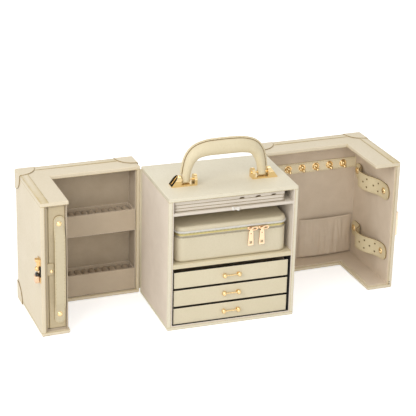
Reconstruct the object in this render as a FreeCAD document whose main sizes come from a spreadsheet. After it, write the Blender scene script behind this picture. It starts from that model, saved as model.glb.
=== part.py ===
"""Jewellery trunk with a carrying handle, wings open as it stands on a dressing table.

A leather-covered cabinet holds three drawers, a zipped travel case, a flat tray and a necklace
board. Two L-shaped wings hinge at its back edges and close round its sides and front.
Millimetres, +Z up, origin at the centre of the cabinet's base, front towards -Y.
"""
import FreeCAD, Part
import math
import os
import Sketcher
from FreeCAD import Placement, Rotation, Vector

doc = FreeCAD.newDocument("jewellery_trunk")

# Driving dimensions: millimetres, degrees and counts
DIMENSIONS = [
    ("cabinet_width", 190), ("cabinet_depth", 132), ("board", 5), ("card", 2), ("edge_round", 1.5),
    ("drawer_height", 25), ("drawer_gap", 2.7), ("drawer_headroom", 6.3), ("rest_gap", 0.3),
    ("divider_thickness", 7), ("case_bay_height", 72.5), ("shelf_thickness", 4.5),
    ("slot_height", 17), ("shelf_setback", 0.5), ("pad_proud", 3), ("pad_margin", 3.5),
    ("drawer_setback", 3), ("drawer_front_thickness", 3), ("drawer_side_gap", 2.7),
    ("drawer_wall", 3.5), ("drawer_floor", 2.5), ("drawer_back_gap", 11), ("drawer_rim_drop", 3),
    ("runner_height", 4), ("runner_clearance", 0.2), ("runner_depth", 4.2),
    ("pull_spacing", 20), ("pull_ball", 2.4), ("pull_bar", 1), ("pull_reach", 2.8),
    ("slot_right_gap", 11), ("slot_back_gap", 14), ("slot_board_setback", 5),
    ("slot_left_gap", 2), ("tray_height", 9.3), ("tray_wall", 2), ("tray_floor", 1.8),
    ("necklace_board_thickness", 5.3), ("notch_pitch", 23.5), ("notch_width", 6),
    ("notch_height", 1.5), ("notch_depth", 9), ("tab_width", 13), ("tab_thickness", 1.4),
    ("case_side_gap", 6), ("case_back_gap", 10), ("case_setback", 5), ("case_corner", 12),
    ("case_body_height", 37.5), ("case_wall", 3), ("zip_height", 6.2), ("zip_recess", 1.4),
    ("case_lid_height", 9), ("case_edge", 3.5), ("base_bead", 0.9), ("lid_bead", 1.3),
    ("zip_pull_length", 25), ("zip_pull_width", 8.4),
    ("first_slider", 26.5), ("slider_pitch", 16.5), ("slider_length", 9), ("slider_height", 4.6),
    ("slider_depth", 2.6), ("pull_eye", 2.6), ("pull_wire", 1.1), ("welt", 3), ("welt_thickness", 2.4),
    ("wing_gap", 1), ("wing_meeting_gap", 1.6), ("wing_depth", 40), ("wing_panel", 6),
    ("wing_floor_gap", 0.5), ("left_angle", 88.5), ("right_angle", 92.2), ("lining", 1.2),
    ("patch_reach", 27), ("patch_thickness", 1.2), ("strip_width", 12), ("strip_thickness", 1),
    ("pocket_setback", 2), ("insert_front_gap", 4.1), ("insert_wall", 2), ("insert_setback", 5.7),
    ("ring_tray_height", 32.5), ("upper_tray_level", 100.5), ("ring_roll_count", 12),
    ("handle_level", 8), ("handle_centre", 19), ("pin_radius", 1.5), ("pin_clearance", 0.05),
    ("bracket_inner", 41), ("bracket_ear", 4), ("bracket_gap", 19.3), ("bracket_wing", 10.2),
    ("bracket_depth", 14), ("bracket_base", 2.4), ("bush_wall", 1.1), ("leg_width", 13),
    ("leg_side_gap", 1.4),
    ("strap_width", 25), ("strap_thickness", 1.8), ("strap_start_gap", 3.8), ("strap_hole", 1.2),
    ("strap_hole_pitch", 6), ("strap_hole_stagger", 5), ("strap_hole_count", 7),
    ("upper_strap_level", 146), ("lower_strap_level", 51),
    ("hook_count", 5), ("hook_pitch", 22.8), ("hook_end_gap", 22.4),
    ("hook_wire", 0.9), ("hook_bend", 2.8), ("band_level", 148.5), ("band_height", 16.5),
    ("band_thickness", 1.5), ("guide", 3), ("insert_strap_width", 15.5), ("insert_strap_thickness", 1.6),
    ("insert_strap_low", 7.3), ("insert_strap_high", 13.5), ("insert_strap_rise", 9),
    ("insert_strap_inset", 1), ("insert_strap_bow", 3.4),
    ("snap_gap", 0.7), ("snap_width", 9.2), ("snap_rise", 3),
    ("lock_width", 22), ("lock_height", 42), ("lock_level", 98), ("catch_level", 102),
    ("lock_thickness", 1.2), ("lock_reach", 7), ("lock_knuckle", 2.4), ("lock_pin", 1.1),
    ("pocket_width", 83), ("pocket_end_gap", 7.8), ("pocket_top", 71.5), ("pocket_depth", 6.6),
    ("pocket_cloth", 1.6), ("pocket_folds", 9), ("fold_depth", 0.9),
]

sheet = doc.addObject("Spreadsheet::Sheet", "sizes")
for row, (alias, value) in enumerate(DIMENSIONS, 1):
    sheet.set("A%d" % row, alias)
    sheet.set("B%d" % row, str(value))
    sheet.setAlias("B%d" % row, alias)
doc.recompute()


class Size(float):
    """A number that remembers the sheet expression it was worked out from."""

    def __new__(cls, value, text):
        item = float.__new__(cls, value)
        item.text = text
        return item

    def joined(self, sign, other, swap=False):
        left, right = (other, self) if swap else (self, other)
        a, b = float(left), float(right)
        value = {"+": a + b, "-": a - b, "*": a * b}[sign] if sign != "/" else a / b
        return Size(value, "(%s %s %s)" % (words(left), sign, words(right)))

    def __add__(self, other):
        return self.joined("+", other)

    def __radd__(self, other):
        return self.joined("+", other, True)

    def __sub__(self, other):
        return self.joined("-", other)

    def __rsub__(self, other):
        return self.joined("-", other, True)

    def __mul__(self, other):
        return self.joined("*", other)

    def __rmul__(self, other):
        return self.joined("*", other, True)

    def __truediv__(self, other):
        return self.joined("/", other)

    def __neg__(self):
        return self.joined("*", -1)


def words(value):
    return value.text if isinstance(value, Size) else repr(float(value))


class Cells:
    """The sheet's cells as sizes."""


d = Cells()
for alias, value in DIMENSIONS:
    setattr(d, alias, Size(sheet.get(alias), "sizes." + alias))

NODES = []


def bind(item, prop, value):
    """Sets a property and holds it to the sheet."""
    if "." not in prop:
        setattr(item, prop, float(value))
    if isinstance(value, Size):
        item.setExpression(prop, value.text)


def finish(item, label, place=None):
    """Names a finished sub-part and puts it in its place."""
    if place is not None:
        item.Placement = place
    item.Label = label
    NODES.append(item)
    doc.recompute()
    return item


def box(name, x, y, z, frame=None):
    """A block between three pairs of planes, in a turned frame where one is given."""
    item = doc.addObject("Part::Box", name)
    for prop, (low, high) in (("Length", x), ("Width", y), ("Height", z)):
        bind(item, prop, high - low)
    corner = Placement(Vector(float(x[0]), float(y[0]), float(z[0])), Rotation())
    if frame is not None:
        item.Placement = frame * corner
        return item
    item.Placement = corner
    for axis, pair in (("x", x), ("y", y), ("z", z)):
        if isinstance(pair[0], Size):
            item.setExpression("Placement.Base." + axis, pair[0].text)
    return item


def rod(name, start, axis, length, radius):
    """A round bar from a point along an axis."""
    item = doc.addObject("Part::Cylinder", name)
    bind(item, "Radius", radius)
    bind(item, "Height", length)
    item.Placement = Placement(Vector(*[float(v) for v in start]), Rotation(Vector(0, 0, 1), Vector(*axis)))
    return item


def ball(name, centre, radius):
    item = doc.addObject("Part::Sphere", name)
    bind(item, "Radius", radius)
    item.Placement = Placement(Vector(*[float(v) for v in centre]), Rotation())
    return item


def fuse(name, items):
    item = doc.addObject("Part::MultiFuse", name)
    item.Shapes = items
    return item


def cut(name, base, tools):
    tool = tools[0] if len(tools) == 1 else fuse(name + "_tools", tools)
    item = doc.addObject("Part::Cut", name)
    item.Base = base
    item.Tool = tool
    return item


def common(name, first, second):
    item = doc.addObject("Part::Common", name)
    item.Base = first
    item.Tool = second
    return item


def group(name, items):
    item = doc.addObject("Part::Compound", name)
    item.Links = items
    return item


def mirrored(name, item):
    """The same piece on the other side of the middle plane."""
    twin = doc.addObject("Part::Mirroring", name)
    twin.Source = item
    twin.Normal = Vector(1, 0, 0)
    return twin


def edges(shape, test):
    """Numbers of the edges whose bounds pass the test."""
    return [i for i, edge in enumerate(shape.Edges, 1) if test(edge.BoundBox)]


def rounded(name, base, radius, test):
    """Rounds the edges of a block that pass the test."""
    doc.recompute()
    item = doc.addObject("Part::Fillet", name)
    item.Base = base
    item.Edges = [(i, float(radius), float(radius)) for i in edges(base.Shape, test)]
    return item


def flat(edge_box):
    """Yes for an edge that lies level."""
    return edge_box.ZLength < 0.01


def upright(edge_box):
    """Yes for a straight edge that stands upright."""
    return edge_box.ZLength > 1 and edge_box.XLength < 0.01 and edge_box.YLength < 0.01


def nearest_y(edge_box):
    """How near an edge comes to the frame's X axis."""
    return min(abs(edge_box.YMin), abs(edge_box.YMax))


def farthest_y(edge_box):
    """How far an edge lies from the frame's X axis."""
    return max(abs(edge_box.YMin), abs(edge_box.YMax))


def near(value, target):
    return abs(value - float(target)) < 1e-4


def plane_of(body, role):
    return next(item for item in body.Origin.OriginFeatures if item.Role == role)


def sketch_on(body, role, offset=0.0):
    item = body.newObject("Sketcher::SketchObject", body.Name + "_sketch")
    item.AttachmentSupport = (plane_of(body, role), "")
    item.MapMode = "FlatFace"
    item.AttachmentOffset = Placement(Vector(0, 0, float(offset)), Rotation())
    if isinstance(offset, Size):
        item.setExpression("AttachmentOffset.Base.z", offset.text)
    return item


def hold(sketch, geometry, point, x, y):
    """Ties a sketch point to the sheet."""
    for kind, value, axis in (("DistanceX", x, -2), ("DistanceY", y, -1)):
        if near(value, 0):
            sketch.addConstraint(Sketcher.Constraint("PointOnObject", geometry, point, axis))
            continue
        made = sketch.addConstraint(Sketcher.Constraint(kind, -1, 1, geometry, point, float(value)))
        if isinstance(value, Size):
            sketch.setExpression("Constraints[%d]" % made, value.text)


def outline(sketch, points):
    """A closed outline of straight lines through points held to the sheet."""
    first = sketch.GeometryCount
    count = len(points)
    spots = [Vector(float(x), float(y), 0) for x, y in points]
    for i in range(count):
        sketch.addGeometry(Part.LineSegment(spots[i], spots[(i + 1) % count]))
    for i in range(count):
        following = first + (i + 1) % count
        sketch.addConstraint(Sketcher.Constraint("Coincident", first + i, 2, following, 1))
    for i, (x, y) in enumerate(points):
        hold(sketch, first + i, 1, x, y)
    return sketch


def circle(sketch, x, y, radius):
    made = sketch.addGeometry(Part.Circle(Vector(float(x), float(y), 0), Vector(0, 0, 1), float(radius)))
    rule = sketch.addConstraint(Sketcher.Constraint("Radius", made, float(radius)))
    if isinstance(radius, Size):
        sketch.setExpression("Constraints[%d]" % rule, radius.text)
    hold(sketch, made, 3, x, y)


def rectangle(sketch, x, y):
    return outline(sketch, [(x[0], y[0]), (x[1], y[0]), (x[1], y[1]), (x[0], y[1])])


def pad(body, sketch, length, reverse=False, both=False):
    item = body.newObject("PartDesign::Pad", body.Name + "_pad")
    item.Profile = sketch
    bind(item, "Length", length)
    item.Reversed = reverse
    if both:
        item.SideType = "Symmetric"
    doc.recompute()
    return item


def pocket(body, sketch, length, reverse=False, both=False):
    """A cut, turned round when it would miss the solid."""
    before = body.Shape.Volume
    item = body.newObject("PartDesign::Pocket", body.Name + "_pocket")
    item.Profile = sketch
    bind(item, "Length", length)
    item.Reversed = reverse
    if both:
        item.SideType = "Symmetric"
    doc.recompute()
    if body.Shape.Volume > before - 1e-3:
        raise ValueError(body.Name + ": a pocket cut nothing")
    return item


def soften(body, radius, test):
    """A fillet on the body's edges that pass the test."""
    base = body.Tip
    names = ["Edge%d" % i for i in edges(base.Shape, test)]
    item = body.newObject("PartDesign::Fillet", body.Name + "_fillet")
    item.Base = (base, names)
    bind(item, "Radius", radius)
    doc.recompute()
    return item


def hollow(body, wall, test):
    """Leaves a wall of even thickness, open at the faces that pass the test."""
    base = body.Tip
    names = ["Face%d" % i for i, face in enumerate(base.Shape.Faces, 1) if test(face.BoundBox)]
    item = body.newObject("PartDesign::Thickness", body.Name + "_thickness")
    item.Base = (base, names)
    bind(item, "Value", wall)
    item.Mode = 0
    item.Join = 0
    item.Reversed = True
    doc.recompute()
    return item


def new_body(name):
    return doc.addObject("PartDesign::Body", name)


def ribbon(start, heading, moves, thickness):
    """A strip of leather seen edge on, as a face in the XY plane: runs and turns from a start point.

    A move is (length, 0) for a straight run or (radius, degrees) for a turn, left positive.
    """
    sides = []
    for shift in (thickness / 2, -thickness / 2):
        x, y = start
        angle = math.radians(heading)
        made = []
        for size, turn in moves:
            def beside(px, py, at):
                return Vector(px - shift * math.sin(at), py + shift * math.cos(at), 0)
            first = beside(x, y, angle)
            if turn == 0:
                x, y = x + size * math.cos(angle), y + size * math.sin(angle)
                made.append(Part.LineSegment(first, beside(x, y, angle)).toShape())
                continue
            swing = math.radians(turn)
            side = math.copysign(1, turn)
            cx, cy = x - side * size * math.sin(angle), y + side * size * math.cos(angle)
            stops = []
            for share in (0.5, 1.0):
                at = angle + swing * share
                stops.append((cx + side * size * math.sin(at), cy - side * size * math.cos(at), at))
            middle, last = beside(*stops[0]), beside(*stops[1])
            made.append(Part.Arc(first, middle, last).toShape())
            x, y, angle = stops[1]
        sides.append(made)
    left, right = sides
    caps = []
    for end in (0, -1):
        points = [side[end].Vertexes[end].Point for side in (left, right)]
        caps.append(Part.LineSegment(*points).toShape())
    return Part.Face(Part.Wire(Part.__sortEdges__(left + right + caps)))


def shape_of(name, shape):
    item = doc.addObject("Part::Feature", name)
    item.Shape = shape
    return item


# Levels and planes shared by the pieces
half_width = d.cabinet_width / 2
half_depth = d.cabinet_depth / 2
bay_half = half_width - d.board - d.card
bay_back = half_depth - d.board - d.card
bay_floor = d.board + d.card
drawer_step = d.drawer_height + d.drawer_gap
first_drawer = bay_floor + d.rest_gap
divider_bottom = first_drawer + 3 * drawer_step - d.drawer_gap + d.drawer_headroom
divider_top = divider_bottom + d.divider_thickness
shelf_bottom = divider_top + d.case_bay_height
shelf_top = shelf_bottom + d.shelf_thickness
top_under = shelf_top + d.slot_height
height = top_under + d.board
drawer_face = -half_depth + d.drawer_setback


def cabinet_boards():
    """The carcass: boards under leather, butted at the corners, outer edges rounded over."""
    side_x, side_y = (-half_width, half_width), (-half_depth, half_depth)
    for label, z, outer in (("top_board", (top_under, height), height),
                            ("bottom_board", (0.0, d.board), 0.0)):
        body = new_body(label)
        pad(body, rectangle(sketch_on(body, "XY_Plane", z[0]), side_x, side_y), z[1] - z[0])
        soften(body, d.edge_round, lambda e: near(e.ZLength, d.board)
               or (near(e.ZMin, outer) and near(e.ZMax, outer)))
        finish(body, label)
    slab = box("side_block", (half_width - d.board, half_width), side_y, (d.board, top_under))
    right = rounded("side_right", slab, d.edge_round,
                    lambda e: e.ZLength > 20 and near(e.XMin, half_width))
    finish(group("sides", [right, mirrored("side_left", right)]), "side_boards")
    inner = half_width - d.board
    finish(box("back_board", (-inner, inner), (half_depth - d.board, half_depth),
               (d.board, top_under)), "back_board")


def cabinet_inside():
    """Suede-covered cards on the walls, the divider over the drawers and the shelf of the slot."""
    inner = half_width - d.board
    front = -half_depth + d.shelf_setback
    back = half_depth - d.board
    right = box("lining_right", (bay_half, inner), (front, bay_back), (bay_floor, top_under))
    floor = box("lining_floor", (-inner, inner), (front, back), (d.board, bay_floor))
    rear = box("lining_back", (-inner, inner), (bay_back, back), (bay_floor, top_under))
    left = mirrored("lining_left", right)
    finish(group("lining_cards", [right, left, floor, rear]), "cabinet_lining")
    for label, z in (("divider_board", (divider_bottom, divider_top)),
                     ("slot_shelf", (shelf_bottom, shelf_top))):
        slab = box(label + "_block", (-bay_half, bay_half), (front, bay_back), z)
        finish(rounded(label, slab, d.card / 2, lambda e: near(e.YMax, front) and e.XLength > 20), label)


def side_pads():
    """A padded suede panel on each side of the cabinet, which fills the closed wing's mouth."""
    y = (-half_depth + d.pad_margin, half_depth - d.board - d.pad_proud)
    z = (d.board + d.card, top_under - d.rest_gap)
    slab = box("pad_block", (half_width, half_width + d.pad_proud), y, z)
    right = rounded("pad_right", slab, d.pad_proud * 0.8,
                    lambda e: near(e.XMin, half_width + d.pad_proud))
    finish(group("pads", [right, mirrored("pad_left", right)]), "side_pads")


def drawer_runners():
    """Strips on the side walls that the drawers' grooves ride on."""
    strips = []
    for i in range(3):
        middle = first_drawer + i * drawer_step + d.drawer_height / 2 - d.drawer_floor
        low = middle - d.runner_height / 2
        strip = box("runner_%d" % i, (bay_half - d.runner_depth, bay_half),
                    (drawer_face + d.drawer_wall * 2, bay_back), (low, low + d.runner_height))
        strips += [strip, mirrored("runner_twin_%d" % i, strip)]
    finish(group("runners", strips), "drawer_runners")


def drawer(index):
    """One drawer: a tray with grooved sides, its leather-covered front and a two-ball pull."""
    low = first_drawer + index * drawer_step
    half = bay_half - d.drawer_side_gap - d.rest_gap
    front, back = drawer_face + d.drawer_front_thickness, bay_back - d.drawer_back_gap
    rim = low + d.drawer_height - d.drawer_rim_drop
    block = box("tray_block_%d" % index, (-half, half), (front, back), (low, rim))
    room = box("tray_room_%d" % index, (-half + d.drawer_wall, half - d.drawer_wall),
               (front + d.drawer_wall, back - d.drawer_wall), (low + d.drawer_floor, rim + d.board))
    middle = low + d.drawer_height / 2 - d.drawer_floor
    groove = box("groove_%d" % index, (bay_half - d.runner_depth - d.runner_clearance, half + 1),
                 (drawer_face + d.drawer_wall * 2 - d.runner_clearance, back + 1),
                 (middle - d.runner_height / 2 - d.runner_clearance,
                  middle + d.runner_height / 2 + d.runner_clearance))
    twin = mirrored("groove_twin_%d" % index, groove)
    tray = cut("tray_cut_%d" % index, block, [room, groove, twin])
    soft = rounded("tray_%d" % index, tray, d.drawer_wall * 0.3,
                   lambda e: near(e.ZMin, rim) and flat(e))
    finish(soft, "drawer_tray_%d" % (index + 1))
    face = half + d.rest_gap
    slab = box("front_block_%d" % index, (-face, face), (drawer_face, front), (low, low + d.drawer_height))
    finish(rounded("front_%d" % index, slab, d.drawer_front_thickness * 0.4,
                   lambda e: near(e.YMax, drawer_face)), "drawer_front_%d" % (index + 1))
    level = low + d.drawer_height / 2
    reach = drawer_face - d.pull_reach
    bar = rod("bar_%d" % index, (-d.pull_spacing / 2, reach, level), (1, 0, 0), d.pull_spacing, d.pull_bar)
    pieces = [bar]
    for side in (-1, 1):
        at = d.pull_spacing * 0.5 * side
        tag = "%d_%d" % (index, side + 1)
        pieces.append(ball("knob_" + tag, (at, reach, level), d.pull_ball))
        pieces.append(rod("stem_" + tag, (at, reach, level), (0, 1, 0), d.pull_reach,
                          d.pull_bar * 1.2))
        pieces.append(rod("rose_" + tag, (at, drawer_face - d.pull_bar * 0.6, level), (0, 1, 0),
                          d.pull_bar * 0.6, d.pull_ball * 1.15))
    finish(fuse("pull_%d" % index, pieces), "drawer_pull_%d" % (index + 1))


def slot_pieces():
    """The flat tray in the slot, with its bead pull, and the notched necklace board on top of it."""
    left = -bay_half + d.slot_left_gap
    right = bay_half - d.slot_right_gap
    front = -half_depth + d.slot_board_setback
    back = bay_back - d.slot_back_gap
    low = shelf_top + d.rest_gap
    rim = low + d.tray_height
    slab = box("flat_tray_block", (left, right), (front, back), (low, rim))
    block = rounded("flat_tray_round", slab, d.tray_height * 0.6,
                    lambda e: near(e.ZLength, d.tray_height))
    room = box("flat_tray_room", (left + d.tray_wall, right - d.tray_wall),
               (front + d.tray_wall, back - d.tray_wall), (low + d.tray_floor, rim + 1))
    inside = rounded("flat_tray_room_round", room, d.tray_height * 0.6 - d.tray_wall,
                     upright)
    finish(cut("flat_tray_cut", block, [inside]), "flat_tray")
    centre = (left + right) / 2 + d.slot_left_gap * 2
    lip = -half_depth + d.shelf_setback - d.rest_gap
    across = (centre - d.tab_width / 2, centre + d.tab_width / 2)
    foot = shelf_bottom + d.rest_gap
    drop = box("tab_drop", across, (lip - d.tab_thickness, lip), (foot, low + d.tab_thickness))
    hang = rounded("tab_hang", drop, d.tab_width * 0.25,
                   lambda e: near(e.ZMax, foot) and near(e.YLength, d.tab_thickness))
    reach = box("tab_reach", across, (lip, front), (low, low + d.tab_thickness))
    finish(fuse("pull_tab", [hang, reach]), "tray_tab")
    base = rim + d.rest_gap
    plate = box("necklace_block", (left, right), (front, back), (base, base + d.necklace_board_thickness))
    smooth = rounded("necklace_round", plate, d.necklace_board_thickness * 0.6,
                     lambda e: near(e.ZLength, d.necklace_board_thickness))
    notches = []
    for i in range(3):
        middle = (left + right) / 2 + d.notch_pitch * (i + 0.7)
        notches.append(box("notch_%d" % i, (middle - d.notch_width / 2, middle + d.notch_width / 2),
                           (front - 1, front + d.notch_depth), (base - 1, base + d.notch_height)))
    finish(cut("necklace_cut", smooth, notches), "necklace_board")


def ring_round(x, y, corner, level, radius):
    """A round bead swept along a rounded rectangle at one level."""
    x0, x1, y0, y1 = float(x[0]), float(x[1]), float(y[0]), float(y[1])
    r = float(corner)
    k = r * (1 - math.sqrt(0.5))
    runs = [((x0 + r, y0), (x1 - r, y0)), ((x1, y0 + r), (x1, y1 - r)),
            ((x1 - r, y1), (x0 + r, y1)), ((x0, y1 - r), (x0, y0 + r))]
    bends = [(x1 - k, y0 + k), (x1 - k, y1 - k), (x0 + k, y1 - k), (x0 + k, y0 + k)]
    parts = []
    for i, (start, stop) in enumerate(runs):
        parts.append(Part.LineSegment(Vector(*start, level), Vector(*stop, level)).toShape())
        after = runs[(i + 1) % 4][0]
        bend = Part.Arc(Vector(*stop, level), Vector(*bends[i], level), Vector(*after, level))
        parts.append(bend.toShape())
    path = Part.Wire(parts)
    start = runs[0][0]
    section = Part.Wire(Part.Circle(Vector(*start, level), Vector(1, 0, 0), radius).toShape())
    return path.makePipeShell([section], True, False)


def travel_case():
    """The zipped case: hollow base and lid with piped edges, the zip between them at the front."""
    x = (-bay_half + d.case_side_gap, bay_half - d.case_side_gap)
    y = (-half_depth + d.case_setback, bay_back - d.case_back_gap)
    low = divider_top + d.rest_gap
    seam = low + d.case_body_height
    lid_low = seam + d.zip_height
    lid_top = lid_low + d.case_lid_height
    for label, z, outer, open_level in (("case_base", (low, seam), low, seam),
                                        ("case_lid", (lid_low, lid_top), lid_top, lid_low)):
        body = new_body(label)
        pad(body, rectangle(sketch_on(body, "XY_Plane", z[0]), x, y), z[1] - z[0])
        soften(body, d.case_corner, upright)
        soften(body, d.case_edge, lambda e: near(e.ZMin, outer) and near(e.ZMax, outer))
        hollow(body, d.case_wall, lambda f: near(f.ZMin, open_level) and near(f.ZMax, open_level))
        finish(body, label)
    outer = box("zip_block", (x[0] + d.zip_recess, x[1] - d.zip_recess),
                (y[0] + d.zip_recess, y[1] - d.zip_recess), (seam, lid_low - d.rest_gap))
    solid = rounded("zip_round", outer, d.case_corner - d.zip_recess, upright)
    inset = d.zip_recess + d.card / 2
    inner = box("zip_room", (x[0] + inset, x[1] - inset), (y[0] + inset, y[1] - inset),
                (seam - 1, lid_low + 1))
    room = rounded("zip_room_round", inner, d.case_corner - inset, upright)
    finish(cut("zip_cut", solid, [room]), "zip_tape")
    for label, level, bead in (("base_piping", seam - d.base_bead * 0.2, d.base_bead),
                               ("lid_piping", lid_low + d.lid_bead * 0.9, d.lid_bead)):
        ring = ring_round(x, y, d.case_corner, float(level), float(bead))
        for name in ("case_base", "case_lid", "zip_tape"):
            ring = ring.cut(next(item for item in NODES if item.Label == name).Shape)
        solid = max(ring.Solids, key=lambda s: s.Volume)
        finish(shape_of(label, solid), label)
    return y[0], seam


def zip_pulls(front, seam):
    """Two sliders side by side on the zip and the long tabs that hang from them."""
    level = seam + d.zip_height / 2
    face = front + d.zip_recess - d.slider_depth - d.rest_gap / 3
    sliders = []
    for number, at in ((1, d.first_slider), (2, d.first_slider + d.slider_pitch)):
        tag = "_%d" % number
        block = box("slider_block" + tag, (at - d.slider_length / 2, at + d.slider_length / 2),
                    (face, face + d.slider_depth),
                    (level - d.slider_height / 2, level + d.slider_height / 2))
        body = rounded("slider_body" + tag, block, d.slider_height * 0.22, lambda e: True)
        lugs = []
        for side in (-1, 1):
            middle = at + d.pull_eye * side
            lugs.append(box("lug" + tag + str(side + 1),
                            (middle - d.pull_wire / 2, middle + d.pull_wire / 2),
                            (face - d.pull_wire * 2.6, face + d.pull_wire),
                            (level - d.pull_wire, level + d.pull_wire)))
        hub = face - d.pull_wire * 1.6
        pin = rod("lug_pin" + tag, (at - d.pull_eye, hub, level), (1, 0, 0), d.pull_eye * 2,
                  d.pull_wire * 0.42)
        sliders.append(fuse("slider" + tag, [body, pin] + lugs))
        zip_pull(number, at, hub, level)
    finish(group("sliders", sliders), "zip_sliders")


def zip_pull(number, at, hub, level):
    """A tab that widens downwards, with a barrel round its slider's pin and a window near the end."""
    tag = "_%d" % number
    body = new_body("zip_tab" + tag)
    top = level + d.pull_wire * 0.9
    foot = level - d.zip_pull_length
    narrow, wide = d.zip_pull_width * 0.37, d.zip_pull_width / 2
    neck = d.pull_eye - d.pull_wire * 0.75
    shoulder = level - d.pull_wire * 2.2
    sketch = sketch_on(body, "XZ_Plane", -hub + d.pull_wire * 0.45)
    outline(sketch, [(at - neck, top), (at - neck, shoulder), (at - narrow, shoulder - d.pull_wire * 1.5),
                     (at - wide, foot), (at + wide, foot), (at + narrow, shoulder - d.pull_wire * 1.5),
                     (at + neck, shoulder), (at + neck, top)])
    pad(body, sketch, d.pull_wire * 0.9, reverse=True)
    window = sketch_on(body, "XZ_Plane", -hub)
    half = d.zip_pull_width * 0.24
    sill = foot + d.pull_wire * 2.4
    rectangle(window, (at - half, at + half), (sill, sill + half * 2))
    pocket(body, window, d.pull_wire * 4, both=True)
    eye = sketch_on(body, "XZ_Plane", -hub)
    circle(eye, at, shoulder - d.pull_wire * 4.2, d.pull_wire * 0.8)
    pocket(body, eye, d.pull_wire * 4, both=True)
    soften(body, d.pull_wire * 0.9, lambda e: flat(e) and near(e.ZMin, foot) and e.XLength < 0.01)
    barrel = rod("barrel" + tag, (at - neck, hub, level), (1, 0, 0), neck * 2, d.pull_wire * 0.95)
    bore = rod("barrel_bore" + tag, (at - neck - 1, hub, level), (1, 0, 0), neck * 2 + 2,
               d.pull_wire * 0.42 + d.pin_clearance)
    finish(cut("zip_pull" + tag, fuse("zip_whole" + tag, [body, barrel]), [bore]), "zip_pull_%d" % number)


def handle_brackets():
    """Cast brackets: a foot, an inner ear and an outer one with a grooved buttress; pins between."""
    pivot = height + d.handle_level
    y = -d.handle_centre
    gap_start = d.bracket_inner + d.bracket_ear
    ear = gap_start + d.bracket_gap
    tip = ear + d.bracket_ear + d.bracket_wing
    crown = pivot + d.bracket_depth / 2
    body = new_body("bracket_profile")
    sketch = sketch_on(body, "XZ_Plane", d.handle_centre)
    outline(sketch, [(d.bracket_inner, height), (tip, height), (tip, height + d.bracket_base / 2),
                     (ear + d.bracket_ear, crown), (ear, crown), (ear, height + d.bracket_base),
                     (gap_start, height + d.bracket_base), (gap_start, crown), (d.bracket_inner, crown)])
    pad(body, sketch, d.bracket_depth, both=True)
    crowned = rod("bracket_crown", (d.bracket_inner - 1, y, pivot), (1, 0, 0), tip - d.bracket_inner + 2,
                  d.bracket_depth / 2)
    foot = box("bracket_foot", (d.bracket_inner - 1, tip + 1),
               (y - d.bracket_depth / 2, y + d.bracket_depth / 2), (height - 1, pivot))
    form = common("bracket_form", body, fuse("bracket_side", [crowned, foot]))
    hole = rod("bracket_hole", (d.bracket_inner - 1, y, pivot), (1, 0, 0),
               ear - d.bracket_inner + 1 + d.bracket_ear / 2, d.pin_radius)
    slope = math.degrees(math.atan2(float(crown - height - d.bracket_base / 2), float(d.bracket_wing)))
    groove = box("bracket_groove", (0, d.bracket_wing * 1.25), (-d.pin_radius, d.pin_radius),
                 (-d.pin_radius * 0.8, d.pin_radius),
                 Placement(Vector(float(ear + d.bracket_ear) + 0.9, float(y), float(crown) - 1.2),
                           Rotation(Vector(0, 1, 0), slope)))
    right = cut("bracket_right", form, [hole, groove])
    finish(group("brackets", [right, mirrored("bracket_left", right)]), "handle_brackets")
    crown_height = d.pin_radius * 0.7
    start = (d.bracket_inner - crown_height, y, pivot)
    head = rod("pin_head", start, (1, 0, 0), crown_height, d.pin_radius * 1.7)
    shank = rod("pin_shank", start, (1, 0, 0),
                crown_height + ear - d.bracket_inner + d.bracket_ear / 2, d.pin_radius)
    pin = fuse("pin_right", [head, shank])
    finish(group("pins", [pin, mirrored("pin_left", pin)]), "handle_pins")


# The handle's middle line: share of the legs' reach, level above the pivot, half width, half thickness
HANDLE_STATIONS = [
    (1.0000, -1.2, 6.4, 5.4), (0.9894, 7.5, 6.3, 5.9), (0.9468, 19.5, 7.0, 7.0), (0.8617, 31.0, 8.4, 8.4),
    (0.7092, 39.1, 9.7, 9.7), (0.4610, 42.7, 10.5, 10.5), (0.2128, 43.3, 10.8, 10.8),
    (0.0, 43.4, 10.9, 10.9),
]


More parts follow.
